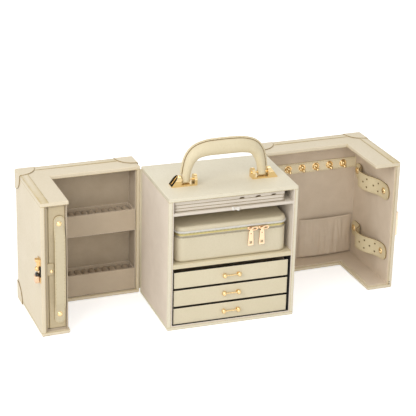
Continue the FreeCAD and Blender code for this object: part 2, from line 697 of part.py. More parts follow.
def handle():
    """The padded leather arch, thin at the legs and full at the grip, its sewn edge on the outside."""
    pivot = float(height + d.handle_level)
    y = -float(d.handle_centre)
    ear = d.bracket_inner + d.bracket_ear + d.bracket_gap
    leg = ear - d.leg_side_gap - d.leg_width / 2
    right = [(float(leg) * share, pivot + z, a, b) for share, z, a, b in HANDLE_STATIONS]
    stations = right + [(-x, z, a, b) for x, z, a, b in reversed(right[:-1])]
    sections, edge_out, edge_in = [], [], []
    for i, (x, z, across, deep) in enumerate(stations):
        before, after = stations[max(i - 1, 0)], stations[min(i + 1, len(stations) - 1)]
        run = Vector(after[0] - before[0], 0, after[1] - before[1]).normalize()
        if i in (0, len(stations) - 1):
            run = Vector(0, 0, 1 if i == 0 else -1)
        outward = Vector(run.z, 0, -run.x)
        ring = doc.addObject("Part::Ellipse", "handle_section_%d" % i)
        ring.MajorRadius, ring.MinorRadius = across, deep
        ring.Placement = Placement(Vector(x, y, z), Rotation(outward, Vector(0, -1, 0), run, "ZXY"))
        sections.append(ring)
        edge_out.append(Vector(x, 0, z) + outward * (across + float(d.welt)))
        edge_in.append(Vector(x, 0, z) + outward * (across - 2))
    loft = doc.addObject("Part::Loft", "handle_loft")
    loft.Sections = sections
    loft.Solid = True
    loft.Ruled = False
    inner, outer = Part.BSplineCurve(), Part.BSplineCurve()
    inner.interpolate(edge_in[1:-1])
    outer.interpolate(edge_out[1:-1])
    ends = [Part.LineSegment(edge_in[k], edge_out[k]).toShape() for k in (1, -2)]
    face = Part.Face(Part.Wire(Part.__sortEdges__([inner.toShape(), outer.toShape()] + ends)))
    face.translate(Vector(0, y - float(d.welt_thickness) / 2, 0))
    welt = shape_of("handle_welt", face.extrude(Vector(0, float(d.welt_thickness), 0)))
    foot_radius = HANDLE_STATIONS[0][3] * 0.97
    foot = rod("leg_foot", (leg - d.leg_width * 0.48, y, pivot), (1, 0, 0), d.leg_width * 0.96, foot_radius)
    bush_radius = d.pin_radius + d.pin_clearance + d.bush_wall
    seat = rod("leg_seat", (leg - d.leg_width, y, pivot), (1, 0, 0), d.leg_width * 2, bush_radius)
    bored = cut("handle_bored", loft, [seat, mirrored("leg_seat_left", seat)])
    bored_foot = cut("leg_bored", foot, [seat])
    other_foot = mirrored("leg_bored_left", bored_foot)
    finish(fuse("handle_body", [bored, bored_foot, other_foot, welt]), "handle_grip")
    bush = rod("bush_outside", (leg - d.leg_width / 2, y, pivot), (1, 0, 0), d.leg_width, bush_radius)
    bore = rod("bush_bore", (leg - d.leg_width, y, pivot), (1, 0, 0), d.leg_width * 2,
               d.pin_radius + d.pin_clearance)
    right_bush = cut("bush_right", bush, [bore])
    finish(group("bushes", [right_bush, mirrored("bush_left", right_bush)]), "handle_bushes")


# Planes of a wing in its own frame: X from the hinge to the closing edge, Y from the mouth outwards
wing_side = d.cabinet_depth + d.wing_gap
wing_outer = wing_side + d.wing_depth
wing_front = half_width + d.wing_gap - d.wing_meeting_gap / 2
wing_low = d.wing_floor_gap
wing_floor = wing_low + d.board
wing_ceiling = height - d.board
panel_inner = d.wing_depth - d.wing_panel
front_inner = wing_outer - d.wing_panel
card_inner = panel_inner - d.lining


def wing_place(side):
    """A wing's place: hinged at the cabinet's back edge and turned open."""
    angle = float(d.right_angle) - 90 if side > 0 else -90 - float(d.left_angle)
    return Placement(Vector(side * float(half_width + d.wing_gap), float(half_depth), 0),
                     Rotation(Vector(0, 0, 1), angle))


def out(side, low, high):
    """A pair of planes counted outwards from the mouth, on the wing's own side."""
    return (low, high) if side > 0 else (-high, -low)


def wing_case(side):
    """The wing's shell: L-shaped boards above and below, hinge rail, side panel and front panel."""
    tag = "right" if side > 0 else "left"
    place = wing_place(side)
    boards = []
    for name, z, outer in (("upper", (wing_ceiling, height), height),
                           ("lower", (wing_low, wing_floor), wing_low)):
        body = new_body("%s_%s_board" % (tag, name))
        plan = [(0.0, 0.0), (wing_side, 0.0), (wing_side, -wing_front * side),
                (wing_outer, -wing_front * side), (wing_outer, d.wing_depth * side),
                (0.0, d.wing_depth * side)]
        pad(body, outline(sketch_on(body, "XY_Plane", z[0]), plan), d.board)
        soften(body, d.edge_round, lambda e: (near(e.ZMin, outer) and near(e.ZMax, outer))
               or (e.ZLength > 1 and not (near(e.XMin, wing_side) and near(e.YMin, 0))))
        boards.append(body)
    finish(group(tag + "_boards", boards), tag + "_wing_boards", place)
    z = (wing_floor, wing_ceiling)
    rail_block = box(tag + "_rail_block", (0, d.board), out(side, 0, panel_inner), z)
    rail = rounded(tag + "_rail", rail_block, d.edge_round,
                   lambda e: upright(e) and near(e.XMin, 0) and near(nearest_y(e), 0))
    wall_block = box(tag + "_wall_block", (0, wing_outer), out(side, panel_inner, d.wing_depth), z)
    wall = rounded(tag + "_wall", wall_block, d.edge_round,
                   lambda e: upright(e) and near(farthest_y(e), d.wing_depth))
    front_block = box(tag + "_front_block", (front_inner, wing_outer),
                      out(side, -wing_front, panel_inner), z)
    front = rounded(tag + "_front", front_block, d.edge_round,
                    lambda e: upright(e) and near(farthest_y(e), wing_front))
    finish(group(tag + "_panels", [rail, wall, front]), tag + "_wing_panels", place)


def ordered(pair):
    """A pair of planes with the lower one first."""
    return pair if float(pair[0]) < float(pair[1]) else (pair[1], pair[0])


def corner_patches(side):
    """Leather caps over the trunk's corners, each a quarter round on every face it covers."""
    tag = "right" if side > 0 else "left"
    patches = []
    reach, thick = d.patch_reach, d.patch_thickness
    for a, inward in ((0.0, 1), (wing_outer, -1)):
        for z, down in ((height, -1), (wing_low, 1)):
            name = "%s_patch_%d_%d" % (tag, inward + 1, down + 1)
            spans = []
            above = thick if down < 0 else 0
            for plane, way, proud in ((a, inward, thick), (d.wing_depth, -1, thick), (z, down, above)):
                inside = plane + reach * 1.2 * way
                spans.append([(plane - proud * way, inside), (plane, inside + way)])
            blocks = []
            for k in (0, 1):
                x, b, zz = [ordered(span[k]) for span in spans]
                blocks.append(box(name + "_block_%d" % k, x, out(side, *b), zz))
            corner = (float(spans[0][0][0]), side * float(spans[1][0][0]), float(spans[2][0][0]))
            outer = rounded(name + "_outer", blocks[0], d.edge_round + thick * 0.6, lambda e: sum((
                near(e.XMin, corner[0]) and near(e.XMax, corner[0]),
                near(e.YMin, corner[1]) and near(e.YMax, corner[1]),
                near(e.ZMin, corner[2]) and near(e.ZMax, corner[2]) and down < 0)) == 2)
            shell = cut(name + "_shell", outer, [blocks[1]])
            globe = ball(name + "_globe", (a, side * d.wing_depth, z), reach)
            globe.Placement.Rotation = Rotation(Vector(0, 0, 1), Vector(-inward, side, -down))
            patches.append(common(name, shell, globe))
    finish(group(tag + "_patches", patches), tag + "_corner_patches", wing_place(side))


def hinge_strip(side):
    """The leathercloth strip glued to the cabinet's back and the wing's end, on which the wing swings."""
    tag = "right" if side > 0 else "left"
    place = wing_place(side)
    x = (half_width - d.strip_width, half_width + d.wing_gap)
    pair = x if side > 0 else (-x[1], -x[0])
    z = (d.board + d.card, top_under)
    leaf = box(tag + "_strip_leaf", pair, (half_depth, half_depth + d.strip_thickness), z)
    fold = rod(tag + "_strip_fold", (side * float(x[1]), half_depth, z[0]), (0, 0, 1), z[1] - z[0],
               d.strip_thickness)
    other = box(tag + "_strip_other", (-d.strip_thickness, 0), out(side, 0, d.strip_width), z, place)
    tall = (d.board, top_under)
    guard = box(tag + "_strip_guard", (0, d.board), out(side, -d.board, d.strip_width), tall, place)
    block = box(tag + "_strip_body", (-half_width, half_width),
                (half_depth - d.board * 2, half_depth), tall)
    whole = fuse(tag + "_strip_whole", [leaf, fold, other])
    finish(cut(tag + "_strip", whole, [guard, block]), tag + "_hinge_strip")


def wing_cards(side):
    """Suede-covered cards inside the wing; the left one also has the guides of its pull-out insert."""
    tag = "right" if side > 0 else "left"
    mouth = d.board * 0.9
    far = wing_side + d.pocket_setback if side < 0 else front_inner
    z = (wing_floor, wing_ceiling)
    cards = [box(tag + "_card_back", (d.board, front_inner if side > 0 else front_inner - d.card),
                 out(side, card_inner, panel_inner), z),
             box(tag + "_card_rail", (d.board, d.board + d.lining), out(side, mouth, card_inner), z)]
    start = d.board + d.lining
    for name, low in (("floor", wing_floor), ("ceiling", wing_ceiling - d.lining)):
        level = (low, low + d.lining)
        stop = far - d.lining if side > 0 else far
        cards.append(box(tag + "_card_" + name, (start, stop), out(side, mouth, card_inner), level))
        if side > 0:
            cards.append(box(tag + "_card_front_" + name, (wing_side + mouth, stop),
                             out(side, -wing_front + mouth, mouth), level))
    if side > 0:
        cards.append(box("right_card_front", (front_inner - d.lining, front_inner),
                         out(side, -wing_front + mouth, card_inner), z))
    else:
        cards.append(box("left_card_front", (front_inner - d.card, front_inner),
                         out(side, -wing_front + d.card, panel_inner), z))
        inside = (wing_side + d.pocket_setback + d.card, front_inner - d.card)
        for name, level in (("low", (wing_floor, wing_floor + d.guide)),
                            ("high", (wing_ceiling - d.guide, wing_ceiling))):
            cards.append(box("insert_guide_" + name, inside,
                             out(side, -wing_front + d.board, card_inner), level))
    finish(group(tag + "_cards", cards), tag + "_wing_lining", wing_place(side))


def pocket_wall():
    """The suede-covered panel that closes off the insert's bay in the left wing."""
    a = (wing_side + d.pocket_setback, wing_side + d.pocket_setback + d.card)
    slab = box("pocket_slab", a, out(-1, -wing_front + d.card, card_inner), (wing_floor, wing_ceiling))
    smooth = rounded("pocket_round", slab, d.card * 0.45,
                     lambda e: upright(e) and near(farthest_y(e), wing_front - d.card))
    finish(smooth, "insert_bay_wall", wing_place(-1))


def ring_trays():
    """Two troughs across the left wing, each with a foam block whose padded rolls pinch rings."""
    place = wing_place(-1)
    a = (d.board + d.lining + d.rest_gap, wing_side + d.pocket_setback - d.rest_gap)
    b = (d.pad_proud, card_inner - d.rest_gap / 3)
    troughs, blocks = [], []
    for number, low in ((1, wing_floor + d.lining + d.rest_gap), (2, d.upper_tray_level)):
        tag = "_%d" % number
        rim = low + d.ring_tray_height
        block = box("trough_block" + tag, a, out(-1, *b), (low, rim))
        inner_a = (a[0] + d.tray_wall, a[1] - d.tray_wall)
        room = box("trough_room" + tag, inner_a, out(-1, b[0] + d.card * 1.5, b[1] - d.tray_wall),
                   (low + d.card, rim + 1))
        shell = cut("trough_cut" + tag, block, [room])
        troughs.append(rounded("trough" + tag, shell, d.card * 0.4, lambda e: flat(e) and near(e.ZMin, rim)
                               and near(nearest_y(e), b[0]) and e.XLength > 20))
        gap = d.rest_gap / 3
        foam_a = (inner_a[0] + gap, inner_a[1] - gap)
        pitch = (foam_a[1] - foam_a[0]) / d.ring_roll_count
        radius = pitch / 2 - gap
        axis_level = rim - radius - d.edge_round * 0.6
        foam = new_body("foam" + tag)
        near_end = b[0] + d.card * 1.5 + gap
        base = sketch_on(foam, "XZ_Plane", near_end)
        rectangle(base, foam_a, (low + d.card, axis_level - radius * 0.35))
        long = b[1] - d.tray_wall - gap - near_end
        pad(foam, base, long)
        roll = sketch_on(foam, "XZ_Plane", near_end)
        circle(roll, foam_a[0] + pitch / 2, axis_level, radius)
        first = pad(foam, roll, long)
        rolls = foam.newObject("PartDesign::LinearPattern", "rolls" + tag)
        rolls.Originals = [first]
        rolls.Direction = (roll, ["H_Axis"])
        bind(rolls, "Length", pitch * (d.ring_roll_count - 1))
        rolls.Occurrences = int(d.ring_roll_count)
        rolls.setExpression("Occurrences", d.ring_roll_count.text)
        foam.Tip = rolls
        blocks.append(foam)
    finish(group("troughs", troughs), "ring_trays", place)
    finish(group("foams", blocks), "ring_rolls", place)


def s_bend(run, rise):
    """Radius and angle of the two equal arcs that step sideways by rise over a run."""
    radius = (run * run + rise * rise) / (4 * rise)
    return radius, math.degrees(math.asin(run / 2 / radius))


def insert():
    """The insert that pulls out of the left wing's end: an open tray on edge, its strap and snap tab."""
    place = wing_place(-1)
    a0 = wing_side + d.pocket_setback + d.card + d.rest_gap
    a = (a0, front_inner - d.card - d.insert_front_gap)
    b = (-wing_front + d.insert_setback, card_inner - d.rest_gap * 8)
    z = (wing_floor + d.guide + d.rest_gap, wing_ceiling - d.guide - d.rest_gap)
    body = new_body("insert_body")
    y = out(-1, *b)
    pad(body, rectangle(sketch_on(body, "XY_Plane", z[0]), a, y), z[1] - z[0])
    room = sketch_on(body, "XY_Plane", z[0] + d.insert_wall)
    rectangle(room, (a[0] - 1, a[1] - d.insert_wall), (y[0] + d.insert_wall, y[1] - d.insert_wall * 1.5))
    pocket(body, room, z[1] - z[0] - d.insert_wall * 2, reverse=True)
    soften(body, d.insert_wall / 2, lambda e: near(e.YMin, y[1]) and near(e.YMax, y[1]))
    finish(body, "insert_tray", place)
    strap_a = a[0] + d.insert_strap_inset
    middle = float(strap_a + d.insert_strap_width / 2)
    thick = float(d.insert_strap_thickness)
    face = float(y[1])
    foot, top = float(z[0] + d.insert_strap_low), float(z[1] - d.insert_strap_high)
    radius, angle = s_bend(float(d.insert_strap_rise) * 2, float(d.insert_strap_bow))
    lie = float(d.insert_strap_width) * 1.1
    crest = top - foot - 2 * lie - 4 * float(d.insert_strap_rise)
    moves = [(lie, 0), (radius, angle), (radius, -angle), (crest, 0), (radius, -angle), (radius, angle),
             (lie, 0)]
    width = float(d.insert_strap_width)
    strip = ribbon((foot, face + thick / 2 + 0.05), 0, moves, thick)
    strip = strip.extrude(Vector(0, 0, width))
    on_edge = Rotation(Vector(0, 0, 1), Vector(0, 1, 0), Vector(-1, 0, 0), "ZXY")
    strip = strip.transformed(Placement(Vector(middle + width / 2, 0, 0), on_edge).toMatrix())
    strip = strip.makeFillet(width * 0.48, [e for e in strip.Edges if near(e.BoundBox.YLength, thick)
                                            and e.BoundBox.ZLength < 0.01 and e.BoundBox.XLength < 0.01])
    finish(shape_of("carry_strip", strip), "insert_strap", place)
    tab_z = (z[0] + z[1]) / 2 + d.snap_rise
    tab_a = (strap_a + d.insert_strap_width + d.snap_gap, front_inner - d.card - d.rest_gap)
    plate = box("tab_plate", tab_a, (y[1] + d.rest_gap / 3, y[1] + d.rest_gap / 3 + d.tab_thickness),
                (tab_z - d.snap_width / 2, tab_z + d.snap_width / 2))
    corner = min(d.snap_width * 0.4, (tab_a[1] - tab_a[0]) * 0.45)
    finish(rounded("snap_plate", plate, corner,
                   lambda e: near(e.YLength, d.tab_thickness) and near(e.XMin, tab_a[1])), "snap_tab", place)


def lock():
    """The case lock on the left wing: a plate with a stop bar and two lugs, and a lever on a pin."""
    place = wing_place(-1)
    face = wing_outer
    b = (-wing_front + d.card, -wing_front + d.card + d.lock_width)
    y = out(-1, *b)
    z = (d.lock_level - d.lock_height / 2, d.lock_level + d.lock_height / 2)
    base = rounded("lock_base", box("lock_block", (face, face + d.lock_thickness), y, z),
                   d.lock_width * 0.14, lambda e: near(e.XLength, d.lock_thickness))
    bar_top = face + d.lock_reach * 0.6
    bar_block = box("lock_bar_block", (face + d.lock_thickness, bar_top),
                    (y[0] + d.lock_width * 0.16, y[1] - d.lock_width * 0.16),
                    (z[1] - d.lock_width * 0.28, z[1] - d.lock_width * 0.1))
    bar = rounded("lock_bar", bar_block, d.edge_round * 0.5, lambda e: near(e.XMin, bar_top))
    hub_a, hub_z = face + d.lock_reach * 0.62, d.lock_level - d.lock_height * 0.1
    lugs = []
    wide, margin = d.lock_width * 0.14, d.lock_width * 0.08
    for k, low in enumerate((y[0] + margin, y[1] - margin - wide)):
        cheek = rod("lug_round_%d" % k, (hub_a, low, hub_z), (0, 1, 0), wide, d.lock_knuckle)
        foot = box("lug_foot_%d" % k, (face + d.lock_thickness / 2, hub_a), (low, low + wide),
                   (hub_z - d.lock_knuckle, hub_z + d.lock_knuckle))
        lugs += [cheek, foot]
    pin = rod("lock_pin", (hub_a, y[0] + margin, hub_z), (0, 1, 0), d.lock_width - margin * 2, d.lock_pin)
    finish(fuse("lock_whole", [base, bar, pin] + lugs), "lock_plate", place)
    inner = (y[0] + margin + wide + d.rest_gap, y[1] - margin - wide - d.rest_gap)
    span = inner[1] - inner[0]
    centre = (inner[0] + inner[1]) / 2
    barrel = rod("lever_barrel", (hub_a, inner[0], hub_z), (0, 1, 0), span, d.lock_knuckle)
    body = new_body("lever_body")
    thick = d.lock_thickness
    a0 = face + d.lock_thickness + d.rest_gap
    leaf = sketch_on(body, "YZ_Plane", a0)
    foot = z[0] + d.lock_height * 0.03
    flare = d.lock_width * 0.45
    outline(leaf, [(centre - span * 0.42, hub_z), (centre - span * 0.34, foot + d.lock_height * 0.14),
                   (centre - flare, foot), (centre + flare, foot),
                   (centre + span * 0.34, foot + d.lock_height * 0.14), (centre + span * 0.42, hub_z)])
    pad(body, leaf, thick)
    boss = sketch_on(body, "YZ_Plane", a0)
    eye_z = hub_z - d.lock_height * 0.17
    circle(boss, centre, eye_z, d.lock_width * 0.2)
    pad(body, boss, thick * 2)
    well = sketch_on(body, "YZ_Plane", a0 + thick * 2)
    circle(well, centre, eye_z, d.lock_width * 0.13)
    pocket(body, well, thick * 1.4)
    soften(body, d.edge_round * 0.3, lambda e: flat(e) and near(e.ZMin, foot) and e.XLength < 0.01)
    bore = rod("lever_bore", (hub_a, inner[0] - 1, hub_z), (0, 1, 0), span + 2, d.lock_pin + d.pin_clearance)
    finish(cut("lever_cut", fuse("lever_whole", [body, barrel]), [bore]), "lock_lever", place)


def catch():
    """The lock's catch on the right wing: a plate with a nib that the lever hooks over."""
    face = wing_outer
    y = (-wing_front + d.card, -wing_front + d.card + d.lock_width * 0.55)
    z = (d.catch_level - d.lock_height / 2, d.catch_level + d.lock_height / 2)
    base = rounded("catch_base", box("catch_block", (face, face + d.lock_thickness), y, z),
                   d.lock_width * 0.14, lambda e: near(e.XLength, d.lock_thickness))
    tip, margin = face + d.lock_reach * 0.75, d.lock_height * 0.24
    nib_block = box("catch_nib_block", (face + d.lock_thickness, tip),
                    (y[0] + d.card, y[0] + d.card * 3.2), (z[0] + margin, z[1] - margin))
    nib = rounded("catch_nib", nib_block, d.edge_round * 0.6, lambda e: near(e.XMin, tip))
    finish(fuse("catch_whole", [base, nib]), "catch_plate", wing_place(1))


def hooks():
    """The leather band across the right wing's back with its row of necklace hooks."""
    place = wing_place(1)
    start = d.board + d.lining
    back = card_inner - d.band_thickness
    band = box("band_block", (start, front_inner - d.lining), (back, card_inner),
               (d.band_level, d.band_level + d.band_height))
    finish(rounded("band_round", band, d.band_thickness * 0.5,
                   lambda e: near(e.YMin, back) and e.XLength > 20), "hook_band", place)
    made = []
    wire, bend = d.hook_wire, d.hook_bend
    level = d.band_level + d.band_height * 0.62
    arm = back - wire * 2.3
    last_hook = front_inner - d.lining - d.hook_end_gap
    for i in range(int(d.hook_count)):
        at = last_hook - d.hook_pitch * (int(d.hook_count) - 1 - i)
        tag = "_%d" % i
        rose = rod("hook_rose" + tag, (at, back - wire * 0.6, level), (0, 1, 0), wire * 0.6, wire * 2.9)
        boss = ball("hook_boss" + tag, (at, arm, level), wire * 2.3)
        stem = rod("hook_stem" + tag, (at, arm, level - bend * 1.3), (0, 0, 1), bend * 1.3, wire)
        bow = doc.addObject("Part::Torus", "hook_bow" + tag)
        bind(bow, "Radius1", bend)
        bind(bow, "Radius2", wire)
        bow.Angle3 = 180
        bow.Placement = Placement(Vector(float(at), float(arm - bend), float(level - bend * 1.3)),
                                  Rotation(Vector(0, -1, 0), Vector(0, 0, -1), Vector(1, 0, 0), "ZXY"))
        tip = ball("hook_tip" + tag, (at, arm - bend * 2, level - bend * 1.3), wire * 1.7)
        made.append(fuse("hook" + tag, [rose, boss, stem, bow, tip]))
    finish(group("hook_row", made), "necklace_hooks", place)


def gathered_pocket():
    """The gathered pocket low on the right wing's back, its cloth drawn into folds."""
    place = wing_place(1)
    right = float(front_inner - d.lining - d.pocket_end_gap)
    left = right - float(d.pocket_width)
    back = float(card_inner)
    front = back - float(d.pocket_depth)
    inner = front + float(d.pocket_cloth)
    count = int(d.pocket_folds) * 2
    step = (right - left) / count
    deep = float(d.fold_depth)
    parts = []
    for i in range(count):
        x0, x1 = left + step * i, left + step * (i + 1)
        way = -deep if i % 2 == 0 else deep
        top_of_fold = Vector((x0 + x1) / 2, front + way, 0)
        parts.append(Part.Arc(Vector(x0, front, 0), top_of_fold, Vector(x1, front, 0)).toShape())
    wall = float(d.pocket_cloth)
    corners = [(right, front), (right, back), (right - wall, back), (right - wall, inner),
               (left + wall, inner), (left + wall, back), (left, back), (left, front)]
    for start, stop in zip(corners, corners[1:]):
        parts.append(Part.LineSegment(Vector(*start, 0), Vector(*stop, 0)).toShape())
    low, high = float(wing_floor + d.lining + d.rest_gap), float(d.pocket_top)
    sheet_face = Part.Face(Part.Wire(Part.__sortEdges__(parts)))
    cloth = sheet_face.extrude(Vector(0, 0, high - low))
    sole = Part.makeBox(right - left - 2 * wall, back - inner, wall, Vector(left + wall, inner, low))
    cloth.translate(Vector(0, 0, low))
    finish(shape_of("pocket_cloth", cloth.fuse(sole).removeSplitter()), "gathered_pocket", place)


# Each strap's label, level, flat lead, run and rise of its bow, run back, and gap to the wing's end
STRAPS = [
    ("upper_strap", d.upper_strap_level, 13, 36, 13.5, 36, 18.2),
    ("lower_strap", d.lower_strap_level, 27, 36, 17.5, 26, 14.2),
]


def earring_straps():
    """Two bowed leather straps on the right wing's front panel, punched with holes for earrings."""
    place = wing_place(1)
    thick, width = float(d.strap_thickness), float(d.strap_width)
    face = float(front_inner - d.lining)
    start = float(card_inner - d.strap_start_gap)
    hole, stagger = float(d.strap_hole), float(d.strap_hole_stagger)
    half_row = (int(d.strap_hole_count) - 1) / 2
    for label, level, lead, run, rise, run_back, end_gap in STRAPS:
        out_radius, out_angle = s_bend(run, rise)
        back_radius, back_angle = s_bend(run_back, rise)
        crest = start - lead - run
        tail = crest - run_back - (float(end_gap) - float(wing_front))
        moves = [(lead, 0), (out_radius, -out_angle), (out_radius, out_angle), (back_radius, back_angle),
                 (back_radius, -back_angle), (tail, 0)]
        strip = ribbon((face - thick / 2 - 0.1, start), -90, moves, thick).extrude(Vector(0, 0, width))
        strip.translate(Vector(0, 0, float(level) - width / 2))
        strip = strip.makeFillet(width * 0.47, [e for e in strip.Edges if near(e.BoundBox.XLength, thick)
                                                and e.BoundBox.ZLength < 0.01 and e.BoundBox.YLength < 0.01])
        for k in range(int(d.strap_hole_count)):
            y = crest + float(d.strap_hole_pitch) * (half_row - k)
            z = float(level) + (stagger if k % 2 == 0 else -stagger)
            through = Part.makeCylinder(hole, rise * 3, Vector(face - rise * 2, y, z), Vector(1, 0, 0))
            strip = strip.cut(through)
        finish(shape_of(label + "_shape", strip), label, place)


def main():
    cabinet_boards()
    cabinet_inside()
    side_pads()
    drawer_runners()
    for index in range(3):
        drawer(index)
    slot_pieces()
    front, seam = travel_case()
    zip_pulls(front, seam)
    handle_brackets()
    handle()
    for side in (-1, 1):
        wing_case(side)
        wing_cards(side)
        corner_patches(side)
        hinge_strip(side)
    pocket_wall()
    ring_trays()
    insert()
    lock()
    catch()
    hooks()
    gathered_pocket()
    earring_straps()


main()
doc.recompute()
problems = [item.Name for item in doc.Objects if "Invalid" in item.State or "Error" in item.State]
problems += [item.Label for item in NODES if item.Shape.isNull() or not item.Shape.isValid()]
if problems:
    raise ValueError("failed: " + ", ".join(problems))
os.makedirs("parts", exist_ok=True)
for item in NODES:
    item.Shape.exportStep("parts/%s.step" % item.Label)
    box_of = item.Shape.BoundBox
    print("%-20s %2d solids %9.1f mm3  x %.1f %.1f  y %.1f %.1f  z %.1f %.1f" % (
        item.Label, len(item.Shape.Solids), item.Shape.Volume, box_of.XMin, box_of.XMax,
        box_of.YMin, box_of.YMax, box_of.ZMin, box_of.ZMax))
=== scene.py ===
"""Looks of the jewellery trunk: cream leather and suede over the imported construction."""
import bisect
import math
import random

import bmesh
import bpy
from mathutils import Matrix, Vector


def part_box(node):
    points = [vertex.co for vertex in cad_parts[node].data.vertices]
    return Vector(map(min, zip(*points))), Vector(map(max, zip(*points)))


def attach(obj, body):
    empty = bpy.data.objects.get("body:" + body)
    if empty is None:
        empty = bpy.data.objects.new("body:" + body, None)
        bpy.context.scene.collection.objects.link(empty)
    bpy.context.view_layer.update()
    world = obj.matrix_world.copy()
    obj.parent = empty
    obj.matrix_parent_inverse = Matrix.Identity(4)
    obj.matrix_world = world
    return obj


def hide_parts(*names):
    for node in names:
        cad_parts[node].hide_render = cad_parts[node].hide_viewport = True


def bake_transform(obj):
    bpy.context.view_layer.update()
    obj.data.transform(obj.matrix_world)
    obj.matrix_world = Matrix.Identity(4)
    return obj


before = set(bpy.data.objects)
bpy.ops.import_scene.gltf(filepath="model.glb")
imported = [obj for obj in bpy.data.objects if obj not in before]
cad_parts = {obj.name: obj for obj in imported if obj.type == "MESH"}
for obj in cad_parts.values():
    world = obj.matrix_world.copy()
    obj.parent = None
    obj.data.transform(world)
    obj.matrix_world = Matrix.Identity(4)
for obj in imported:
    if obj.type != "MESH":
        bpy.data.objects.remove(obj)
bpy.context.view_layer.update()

# Studio: a white table top that keeps the trunk's shadow, in an even white surround, with a large
# soft light high in front on the left, a weaker one low in front and one overhead. Three black
# cards, which only polished metal mirrors, draw the dark edges on the gold.
MM = 0.001
scene = bpy.context.scene
scene.view_settings.view_transform = "Standard"


def linear(code):
    """An sRGB hex colour as the linear values that shaders mix."""
    parts = [int(code[i:i + 2], 16) / 255 for i in (1, 3, 5)]
    return [p / 12.92 if p <= 0.04045 else ((p + 0.055) / 1.055) ** 2.4 for p in parts] + [1.0]


def add(tree, kind, settings=None, links=None):
    """Adds one shader node, sets its sockets and properties, and links nodes or outputs into it."""
    item = tree.nodes.new("ShaderNode" + kind)
    for name, value in (settings or {}).items():
        if isinstance(name, int) or name in item.inputs:
            item.inputs[name].default_value = linear(value) if isinstance(value, str) else value
        else:
            setattr(item, name, value)
    for name, source in (links or {}).items():
        tree.links.new(getattr(source, "outputs", [source])[0], item.inputs[name])
    return item


def blank(name):
    """A material, its emptied node tree and the place on the object that its textures use."""
    material = bpy.data.materials.new(name)
    material.use_nodes = True
    material.node_tree.nodes.clear()
    return material, material.node_tree, add(material.node_tree, "TexCoord").outputs["Object"]


def mesh_object(name, form):
    """Makes an object of the scene from a finished form."""
    mesh = bpy.data.meshes.new(name)
    form.to_mesh(mesh)
    form.free()
    item = bpy.data.objects.new(name, mesh)
    scene.collection.objects.link(item)
    return item


def toward(way):
    """The turn that points Z along a direction."""
    return Vector(way).to_track_quat("Z", "Y")


def placed(spot, turn, size=(1, 1, 1)):
    """The matrix that scales a thing at the origin, turns it and takes it to its spot."""
    return Matrix.LocRotScale(spot, turn, size)


world = bpy.data.worlds.new("studio_surround")
scene.world = world
world.use_nodes = True
world.node_tree.nodes.clear()
tree = world.node_tree
seen = add(tree, "LightPath")
mirrored = add(tree, "Math", {"operation": "MAXIMUM"},
               {0: seen.outputs["Is Glossy Ray"], 1: seen.outputs["Is Transmission Ray"]})
direct = add(tree, "Math", {"operation": "MAXIMUM"}, {0: seen.outputs["Is Camera Ray"], 1: mirrored})
surround_light = add(tree, "Background", {"Color": (1, 1, 1, 1), "Strength": 0.62})
surround_view = add(tree, "Background", {"Color": (1, 1, 1, 1), "Strength": 1.0})
surround = add(tree, "MixShader", {}, {0: direct, 1: surround_light, 2: surround_view})
add(tree, "OutputWorld", {}, {"Surface": surround})


def soft_light(name, position, aim, size, watts):
    """A square white soft box turned towards a point."""
    lamp = bpy.data.lights.new(name, "AREA")
    lamp.shape = "SQUARE"
    lamp.size = size
    lamp.energy = watts
    item = bpy.data.objects.new(name, lamp)
    scene.collection.objects.link(item)
    item.location = position
    item.rotation_euler = (Vector(aim) - Vector(position)).to_track_quat("-Z", "Y").to_euler()


soft_light("key_light", (-1.4, -0.95, 1.2), (0, 0, 0.1), 1.1, 15.5)
soft_light("fill_light", (-0.35, -1.95, 0.8), (0.1, 0, 0.1), 1.2, 7.2)
soft_light("top_light", (0.1, 0.3, 1.7), (0, 0, 0.1), 1.2, 5.2)


def dark_card(name, position, aim, width, height):
    """A black card that only polished metal mirrors, which draws dark edges on it."""
    card_form = bmesh.new()
    bmesh.ops.create_grid(card_form, x_segments=1, y_segments=1, size=0.5,
                          matrix=placed(position, toward(Vector(aim) - Vector(position)), (width, height, 1)))
    card = mesh_object(name, card_form)
    card_paper, tree, _ = blank(name + "_paper")
    matt = add(tree, "BsdfDiffuse", {"Color": "#0B0A09"})
    add(tree, "OutputMaterial", {}, {"Surface": matt})
    card.data.materials.append(card_paper)
    card.visible_camera = card.visible_diffuse = card.visible_shadow = card.visible_transmission = False


dark_card("rear_card", (-0.95, 1.9, 0.75), (0, 0, 0.2), 0.95, 0.7)
dark_card("front_card", (1.35, -1.35, 0.42), (0, 0, 0.15), 0.4, 0.8)
dark_card("side_card", (-1.9, 0.15, 0.2), (-0.2, 0, 0.1), 0.45, 0.36)

floor_form = bmesh.new()
bmesh.ops.create_grid(floor_form, x_segments=1, y_segments=1, size=6)
floor = mesh_object("floor", floor_form)
floor_paper, tree, _ = blank("studio_paper")
seen = add(tree, "LightPath")
direct = add(tree, "Math", {"operation": "MAXIMUM"},
             {0: seen.outputs["Is Camera Ray"], 1: seen.outputs["Is Glossy Ray"]})
lifted = add(tree, "Math", {"operation": "MULTIPLY", 1: 0.47}, {0: direct})
glow = add(tree, "Emission", {"Color": (1, 1, 1, 1)}, {"Strength": lifted})
paper = add(tree, "BsdfDiffuse", {"Color": "#F4F4F4"})
both = add(tree, "AddShader", {}, {0: paper, 1: glow})
add(tree, "OutputMaterial", {}, {"Surface": both})
floor.data.materials.append(floor_paper)

